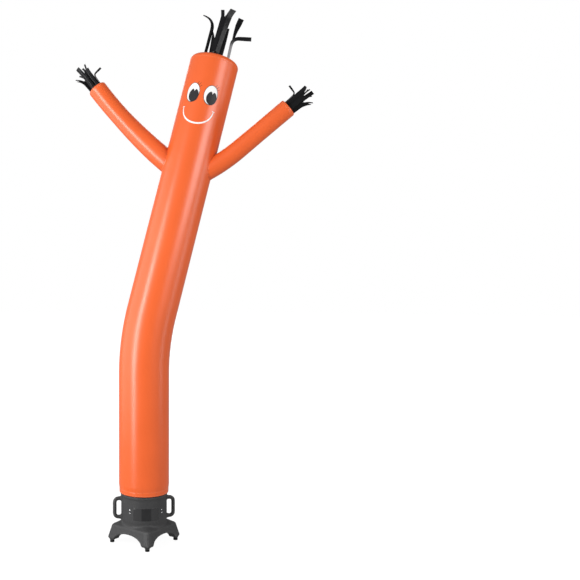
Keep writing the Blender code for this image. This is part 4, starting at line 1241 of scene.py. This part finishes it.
def moulding_finish():
    """Dark moulding: fine grain, slow drift of tone, rubbed edges, scuffs, and dust on what faces up."""
    colours = sizes("dancer_finishes")

    def build(wiring):
        place = wiring.place()
        grain = wiring.use(grain_group(), Place=place)
        wear = wiring.use(wear_group(), Place=place, Edge=wiring.attribute("edge"), Amount=0.55)["Wear"]
        tone = wiring.mix(wiring.spread(grain["Drift"], 0.3, 0.7), grey(0.93), grey(1.07))
        base = wiring.mix(1.0, colours.moulding, tone, "MULTIPLY")
        scuffs = wiring.noise(wiring.stretched(place, (60.0, 60.0, 9.0)), 1.0, 6.0, 0.7)
        marks = wiring.spread(scuffs, 0.64, 0.74, 0.0, 0.22)
        facing = wiring.axes(wiring.node("ShaderNodeNewGeometry").outputs["Normal"])
        dust = wiring.spread(facing["Z"], 0.35, 1.0, 0.0, 0.09)
        dust = wiring.math("MULTIPLY", dust, wiring.noise(place, 24.0, 4.0, 0.65))
        pale = wiring.math("MAXIMUM", wiring.math("MAXIMUM", wear, marks), dust)
        rough = wiring.spread(grain["Drift"], 0.3, 0.7, 0.50, 0.60)
        return {
            "Base Color": wiring.mix(pale, base, grey(0.120)),
            "Roughness": wiring.math("MULTIPLY_ADD", pale, 0.15, rough),
            "Normal": wiring.bump(grain["Height"], 0.28, 0.0005),
        }

    return finish("moulding_dark_grey", colours.moulding, 0.55, build, Specular_IOR_Level=0.30)


def tape_finish():
    """Hook tape: a field of small hooks between two woven selvedges."""
    colours = sizes("dancer_finishes")
    hook_tint, selvedge_tint, half_width = (0.048, 0.046, 0.055, 1.0), (0.040, 0.039, 0.044, 1.0), 0.01325

    def build(wiring):
        place = wiring.cloth()
        parts = wiring.axes(place)
        cells = wiring.node("ShaderNodeTexVoronoi", Vector=place, Scale=760.0, Randomness=0.45)
        lines = wiring.math("SINE", wiring.math("MULTIPLY", parts["Y"], TAU / 0.0016))
        field = wiring.spread(wiring.math("PINGPONG", parts["X"], half_width), 0.0018, 0.0024)
        hooks = wiring.spread(cells.outputs["Distance"], 0.15, 0.55, 1.0, 0.0)
        tuft = wiring.math("MULTIPLY", hooks, field)
        base = wiring.mix(wiring.math("MULTIPLY", tuft, 0.65), colours.tape, hook_tint)
        selvedge = wiring.mix(wiring.spread(lines, -0.2, 0.6, 0.0, 0.4), colours.tape, selvedge_tint)
        return {
            "Base Color": wiring.mix(field, selvedge, base),
            "Roughness": wiring.spread(tuft, 0.0, 1.0, 0.85, 0.60),
            "Normal": wiring.bump(wiring.math("MULTIPLY_ADD", lines, 0.20, tuft), 0.9, 0.0006),
        }

    return finish("hook_tape_black", colours.tape, 0.85, build, Specular_IOR_Level=0.20)


def plate_finish():
    """Glossy plate: its outer parts painted paler, a painted reflection of the side lights, so it is darker
    in its middle third; with faint smears and fine dots.
    """
    colours = sizes("dancer_finishes")
    side_reflection_tint, smear_tint = (0.034, 0.034, 0.035, 1.0), (0.03, 0.03, 0.031, 1.0)

    def build(wiring):
        smears = wiring.noise(wiring.place(), 22.0, 4.0, 0.6)
        dots = wiring.noise(wiring.place(), 900.0, 1.0)
        across = wiring.axes(wiring.cloth())["Y"]
        # painted reflection: past its middle third the plate is painted paler, as if it reflected the side
        # lights
        sides = wiring.spread(wiring.math("ABSOLUTE", across), 0.026, 0.032)
        tone = wiring.mix(sides, colours.plate, side_reflection_tint)
        return {
            "Base Color": wiring.mix(wiring.spread(smears, 0.45, 0.8, 0.0, 0.3), tone, smear_tint),
            "Roughness": wiring.spread(smears, 0.3, 0.75, 0.10, 0.22),
            "Normal": wiring.bump(dots, 0.03, 0.0003),
        }

    return finish("plate_gloss_black", colours.plate, 0.14, build, Specular_IOR_Level=0.45)


def steel_finish():
    """Bright steel with dull patches and fine brushing."""
    colours = sizes("dancer_finishes")

    def build(wiring):
        place = wiring.place()
        brush = wiring.noise(place, 1400.0, 2.0)
        dull = wiring.noise(place, 90.0, 4.0, 0.6)
        patches = wiring.spread(dull, 0.4, 0.8, 0.0, 0.5)
        return {
            "Base Color": wiring.mix(patches, colours.steel, (0.52, 0.52, 0.54, 1.0)),
            "Roughness": wiring.spread(dull, 0.3, 0.7, 0.16, 0.34),
            "Normal": wiring.bump(brush, 0.06, 0.0001),
        }

    return finish("steel_bright", colours.steel, 0.24, build, Metallic=1.0)


def rubber_finish():
    """Black rubber with fine grain and a little dust."""
    colours = sizes("dancer_finishes")

    def build(wiring):
        grain = wiring.use(grain_group(), Place=wiring.place(), Grain=0.0007)
        dusty = wiring.spread(grain["Drift"], 0.4, 0.75, 0.0, 0.25)
        return {
            "Base Color": wiring.mix(dusty, colours.rubber, (0.020, 0.019, 0.018, 1.0)),
            "Roughness": wiring.spread(grain["Height"], 0.4, 1.1, 0.60, 0.80),
            "Normal": wiring.bump(grain["Height"], 0.25, 0.0003),
        }

    return finish("rubber_black", colours.rubber, 0.7, build, Specular_IOR_Level=0.20)


def thread_finish():
    """White sewing thread, its plies as fine noise."""
    colours = sizes("dancer_finishes")

    def build(wiring):
        plies = wiring.noise(wiring.place(), 2600.0, 2.0)
        return {
            "Base Color": wiring.mix(wiring.spread(plies, 0.3, 0.7), colours.white, (0.62, 0.62, 0.60, 1.0)),
            "Normal": wiring.bump(plies, 0.3, 0.0001),
        }

    return finish("thread_white", colours.white, 0.6, build)


# ---------------------------------------------------------------- studio
def aim(thing, place, target):
    thing.location = place
    thing.rotation_euler = (Vector(target) - Vector(place)).to_track_quat("-Z", "Y").to_euler()


def area_light(name, place, target, size, power):
    lamp = bpy.data.lights.new(name, "AREA")
    lamp.shape, lamp.size, lamp.size_y, lamp.energy = "RECTANGLE", size[0], size[1], power
    aim(add_object(name, lamp), place, target)


def floor_finish():
    """A pale floor that passes into the plain background with distance over the floor."""
    colours = sizes("dancer_finishes")
    material = bpy.data.materials.new("studio_floor")
    material.use_nodes = True
    wiring = Wiring(material.node_tree)
    shader = material.node_tree.nodes["Principled BSDF"]
    shader.inputs["Base Color"].default_value = colours.floor
    shader.inputs["Roughness"].default_value = 0.9
    seen = wiring.node("ShaderNodeLightPath").outputs["Is Camera Ray"]
    strength = wiring.spread(seen, 0.0, 1.0, 0.30, 1.12)
    glow = wiring.node("ShaderNodeEmission", Color=grey(1.0), Strength=strength)
    distance = wiring.node("ShaderNodeVectorMath", {"operation": "LENGTH"})
    wiring.feed(distance.inputs[0], wiring.place())
    limits = dict(From_Min=0.4, From_Max=2.4, To_Min=0.84, To_Max=1.0)
    smooth = {"interpolation_type": "SMOOTHSTEP"}
    far = wiring.node("ShaderNodeMapRange", smooth, Value=distance.outputs["Value"], **limits)
    blend = wiring.node("ShaderNodeMixShader")
    wiring.feed(blend.inputs[0], far.outputs[0])
    wiring.feed(blend.inputs[1], shader.outputs[0])
    wiring.feed(blend.inputs[2], glow.outputs[0])
    wiring.feed(material.node_tree.nodes["Material Output"].inputs["Surface"], blend.outputs[0])
    return material


def build_camera():
    """The camera stands a little to the left and looks slightly down; its shift sets the dancer aside."""
    away, azimuth, height, fall = 4.95, math.radians(-5.8), 1.6266, 0.0187
    place = AXIS + away * from_front(azimuth) + height * UP
    look = -from_front(azimuth) - math.tan(fall) * UP
    lens = bpy.data.cameras.new("camera")
    lens.sensor_width, lens.lens, lens.shift_x = 36.0, 50.5, 0.2517
    camera = add_object("camera", lens)
    aim(camera, place, place + look)
    bpy.context.scene.camera = camera


def build_stage():
    sectors, inner, outer, rings = 96, 0.02, 30.0, 40
    turns = np.arange(sectors) * TAU / sectors
    reach = np.linspace(inner, outer, rings)[:, None] * np.ones(sectors)
    surface = Surface(reach[..., None] * from_front(turns)[None], around=True)
    mesh = bpy.data.meshes.new("studio_floor")
    mesh.from_pydata(surface.points.tolist(), [], surface.faces + [list(range(sectors))])
    face_outwards(mesh, lambda shape: sum(face.normal.z for face in shape.faces))
    mesh.materials.append(floor_finish())
    floor = add_object("studio_floor", mesh)
    world = bpy.data.worlds.new("studio_air")
    world.use_nodes = True
    wiring = Wiring(world.node_tree)
    back = world.node_tree.nodes["Background"]
    seen = wiring.node("ShaderNodeLightPath").outputs["Is Camera Ray"]
    way = wiring.axes(wiring.node("ShaderNodeTexCoord").outputs["Generated"])
    air = wiring.spread(way["X"], -1.0, 1.0, 0.46, 0.14)
    wiring.feed(back.inputs["Strength"], wiring.math("MAXIMUM", air, seen))
    back.inputs["Color"].default_value = grey(1.0)
    bpy.context.scene.world = world
    bpy.context.scene.view_settings.view_transform = "Standard"
    for name, angle, away, height, size, power in (
        ("strip_front_left", -55.0, 4.5, 1.7, (0.95, 4.4), 210.0),
        ("soft_left", -98.0, 4.0, 2.0, (4.0, 4.4), 80.0),
        ("soft_front", 40.0, 6.5, 3.6, (3.5, 3.0), 240.0),
        ("soft_right", 75.0, 5.5, 2.0, (1.6, 4.0), 55.0),
        ("soft_back", 174.0, 4.5, 4.0, (3.0, 3.0), 50.0),
    ):
        area_light(name, away * from_front(math.radians(angle)) + height * UP, 1.6 * UP, size, power)


# ---------------------------------------------------------------- operators
class AIR_DANCER_OT_build_stage(bpy.types.Operator):
    """Adds the floor, the background and the lights."""

    bl_idname = "air_dancer.build_stage"
    bl_label = "Studio"

    def execute(self, context):
        build_stage()
        return {"FINISHED"}


class AIR_DANCER_OT_build_camera(bpy.types.Operator):
    """Adds the camera."""

    bl_idname = "air_dancer.build_camera"
    bl_label = "Camera"

    def execute(self, context):
        build_camera()
        return {"FINISHED"}


class AIR_DANCER_OT_build_tube(bpy.types.Operator):
    """Builds the nylon tube with its hem and crown."""

    bl_idname = "air_dancer.build_tube"
    bl_label = "Tube"

    def execute(self, context):
        tube, spine = sizes("dancer_tube"), tube_spine()
        rows = (0.005, tube.hem_depth - 0.003, spine.length - tube.shoulder - 0.004)
        material = nylon_finish("nylon_tube", rows)
        piece = make_piece("tube_cloth", tube_surface(), material, ("torso",))
        return {"FINISHED"}


class AIR_DANCER_OT_build_sleeves(bpy.types.Operator):
    """Builds the two sewn-on sleeves."""

    bl_idname = "air_dancer.build_sleeves"
    bl_label = "Sleeves"

    def execute(self, context):
        for row in SLEEVES:
            arm, seam, surface = sleeve_surface(row)
            run = arm.length - seam.mean()
            material = nylon_finish("nylon_" + row.node, (0.004, run - 0.014, run - 0.003))
            name = row.node.replace("arm", "sleeve")
            piece = make_piece(name, surface, material, (row.node,))
        return {"FINISHED"}


class AIR_DANCER_OT_build_face(bpy.types.Operator):
    """Builds the eyes, pupils, lashes and smile."""

    bl_idname = "air_dancer.build_face"
    bl_label = "Face"

    def execute(self, context):
        spread = sizes("dancer_face").eye_spread
        make_eye("left", -spread)
        make_eye("right", spread)
        make_smile()
        return {"FINISHED"}


class AIR_DANCER_OT_build_hair(bpy.types.Operator):
    """Builds the ribbons on the crown."""

    bl_idname = "air_dancer.build_hair"
    bl_label = "Hair"

    def execute(self, context):
        tube, spine = sizes("dancer_tube"), tube_spine()
        make_ribbons("hair", spine.panel(tube.turn), HAIR, tube.crown_rise + GAP)
        return {"FINISHED"}


class AIR_DANCER_OT_build_streamers(bpy.types.Operator):
    """Builds the ribbons at the hands."""

    bl_idname = "air_dancer.build_streamers"
    bl_label = "Streamers"

    def execute(self, context):
        sleeve = sizes("dancer_sleeves")
        for row in SLEEVES:
            arm = sleeve_spine(row)
            name, cuff = row.node.replace("arm", "streamer"), row.node.replace("arm", "sleeve")
            make_ribbons(name, arm.panel(0.5 * TAU + arm.azimuth), STREAMERS, sleeve.rise + GAP)
        return {"FINISHED"}


class AIR_DANCER_OT_build_housing(bpy.types.Operator):
    """Builds the blower's moulding."""

    bl_idname = "air_dancer.build_housing"
    bl_label = "Housing"

    def execute(self, context):
        surface, edge = housing_surface()
        node, values = ("blower_housing",), {"edge": edge}
        make_piece("housing_moulding", surface, moulding_finish(), node, values)
        return {"FINISHED"}


class AIR_DANCER_OT_build_band(bpy.types.Operator):
    """Builds the hook tape and its stitches."""

    bl_idname = "air_dancer.build_band"
    bl_label = "Hook band"

    def execute(self, context):
        piece = make_piece("hook_tape_band", band_surface(), tape_finish(), ("hook_band",))
        make_piece("hook_tape_stitches", band_stitch_surface(), thread_finish())
        around = TAU * sizes("dancer_blower").drum
        return {"FINISHED"}


class AIR_DANCER_OT_build_plate(bpy.types.Operator):
    """Builds the blank label plate."""

    bl_idname = "air_dancer.build_plate"
    bl_label = "Plate"

    def execute(self, context):
        make_piece("blank_plate", plate_surface(), plate_finish(), ("label_plate",))
        return {"FINISHED"}


class AIR_DANCER_OT_build_rivets(bpy.types.Operator):
    """Builds the rivet heads."""

    bl_idname = "air_dancer.build_rivets"
    bl_label = "Rivets"

    def execute(self, context):
        make_four("rivet", "head", rivet_surface, steel_finish())
        return {"FINISHED"}


class AIR_DANCER_OT_build_guard(bpy.types.Operator):
    """Builds the outlet's guard and its bolts."""

    bl_idname = "air_dancer.build_guard"
    bl_label = "Guard"

    def execute(self, context):
        make_piece("guard_wires", guard_surface(), steel_finish(), ("outlet_guard",))
        make_four("guard_bolt", "head", bolt_surface, steel_finish())
        return {"FINISHED"}


class AIR_DANCER_OT_build_feet(bpy.types.Operator):
    """Builds the rubber feet."""

    bl_idname = "air_dancer.build_feet"
    bl_label = "Feet"

    def execute(self, context):
        make_four("foot", "rubber", foot_surface, rubber_finish())
        return {"FINISHED"}


OPERATORS = (
    AIR_DANCER_OT_build_stage,
    AIR_DANCER_OT_build_camera,
    AIR_DANCER_OT_build_tube,
    AIR_DANCER_OT_build_sleeves,
    AIR_DANCER_OT_build_face,
    AIR_DANCER_OT_build_hair,
    AIR_DANCER_OT_build_streamers,
    AIR_DANCER_OT_build_housing,
    AIR_DANCER_OT_build_band,
    AIR_DANCER_OT_build_plate,
    AIR_DANCER_OT_build_rivets,
    AIR_DANCER_OT_build_guard,
    AIR_DANCER_OT_build_feet,
)


class AIR_DANCER_PT_pieces(bpy.types.Panel):
    """Lists the pieces and their sizes."""

    bl_label = "Air dancer"
    bl_idname = "AIR_DANCER_PT_pieces"
    bl_space_type = "VIEW_3D"
    bl_region_type = "UI"
    bl_category = "Air dancer"

    def draw(self, context):
        for kind in OPERATORS:
            self.layout.operator(kind.bl_idname)
        for name, kind in GROUPS.items():
            box = self.layout.box()
            box.label(text=kind.__doc__)
            for key in kind.__annotations__:
                box.prop(getattr(context.scene, name), key)


def register():
    for kind in (*GROUPS.values(), *OPERATORS, AIR_DANCER_PT_pieces):
        bpy.utils.register_class(kind)
    for name, kind in GROUPS.items():
        setattr(bpy.types.Scene, name, PointerProperty(type=kind))


def unregister():
    for name in GROUPS:
        delattr(bpy.types.Scene, name)
    for kind in reversed((*GROUPS.values(), *OPERATORS, AIR_DANCER_PT_pieces)):
        bpy.utils.unregister_class(kind)


def main():
    register()
    for kind in OPERATORS:
        _, name = kind.bl_idname.split(".")
        getattr(bpy.ops.air_dancer, name)()


if __name__ == "__main__":
    main()
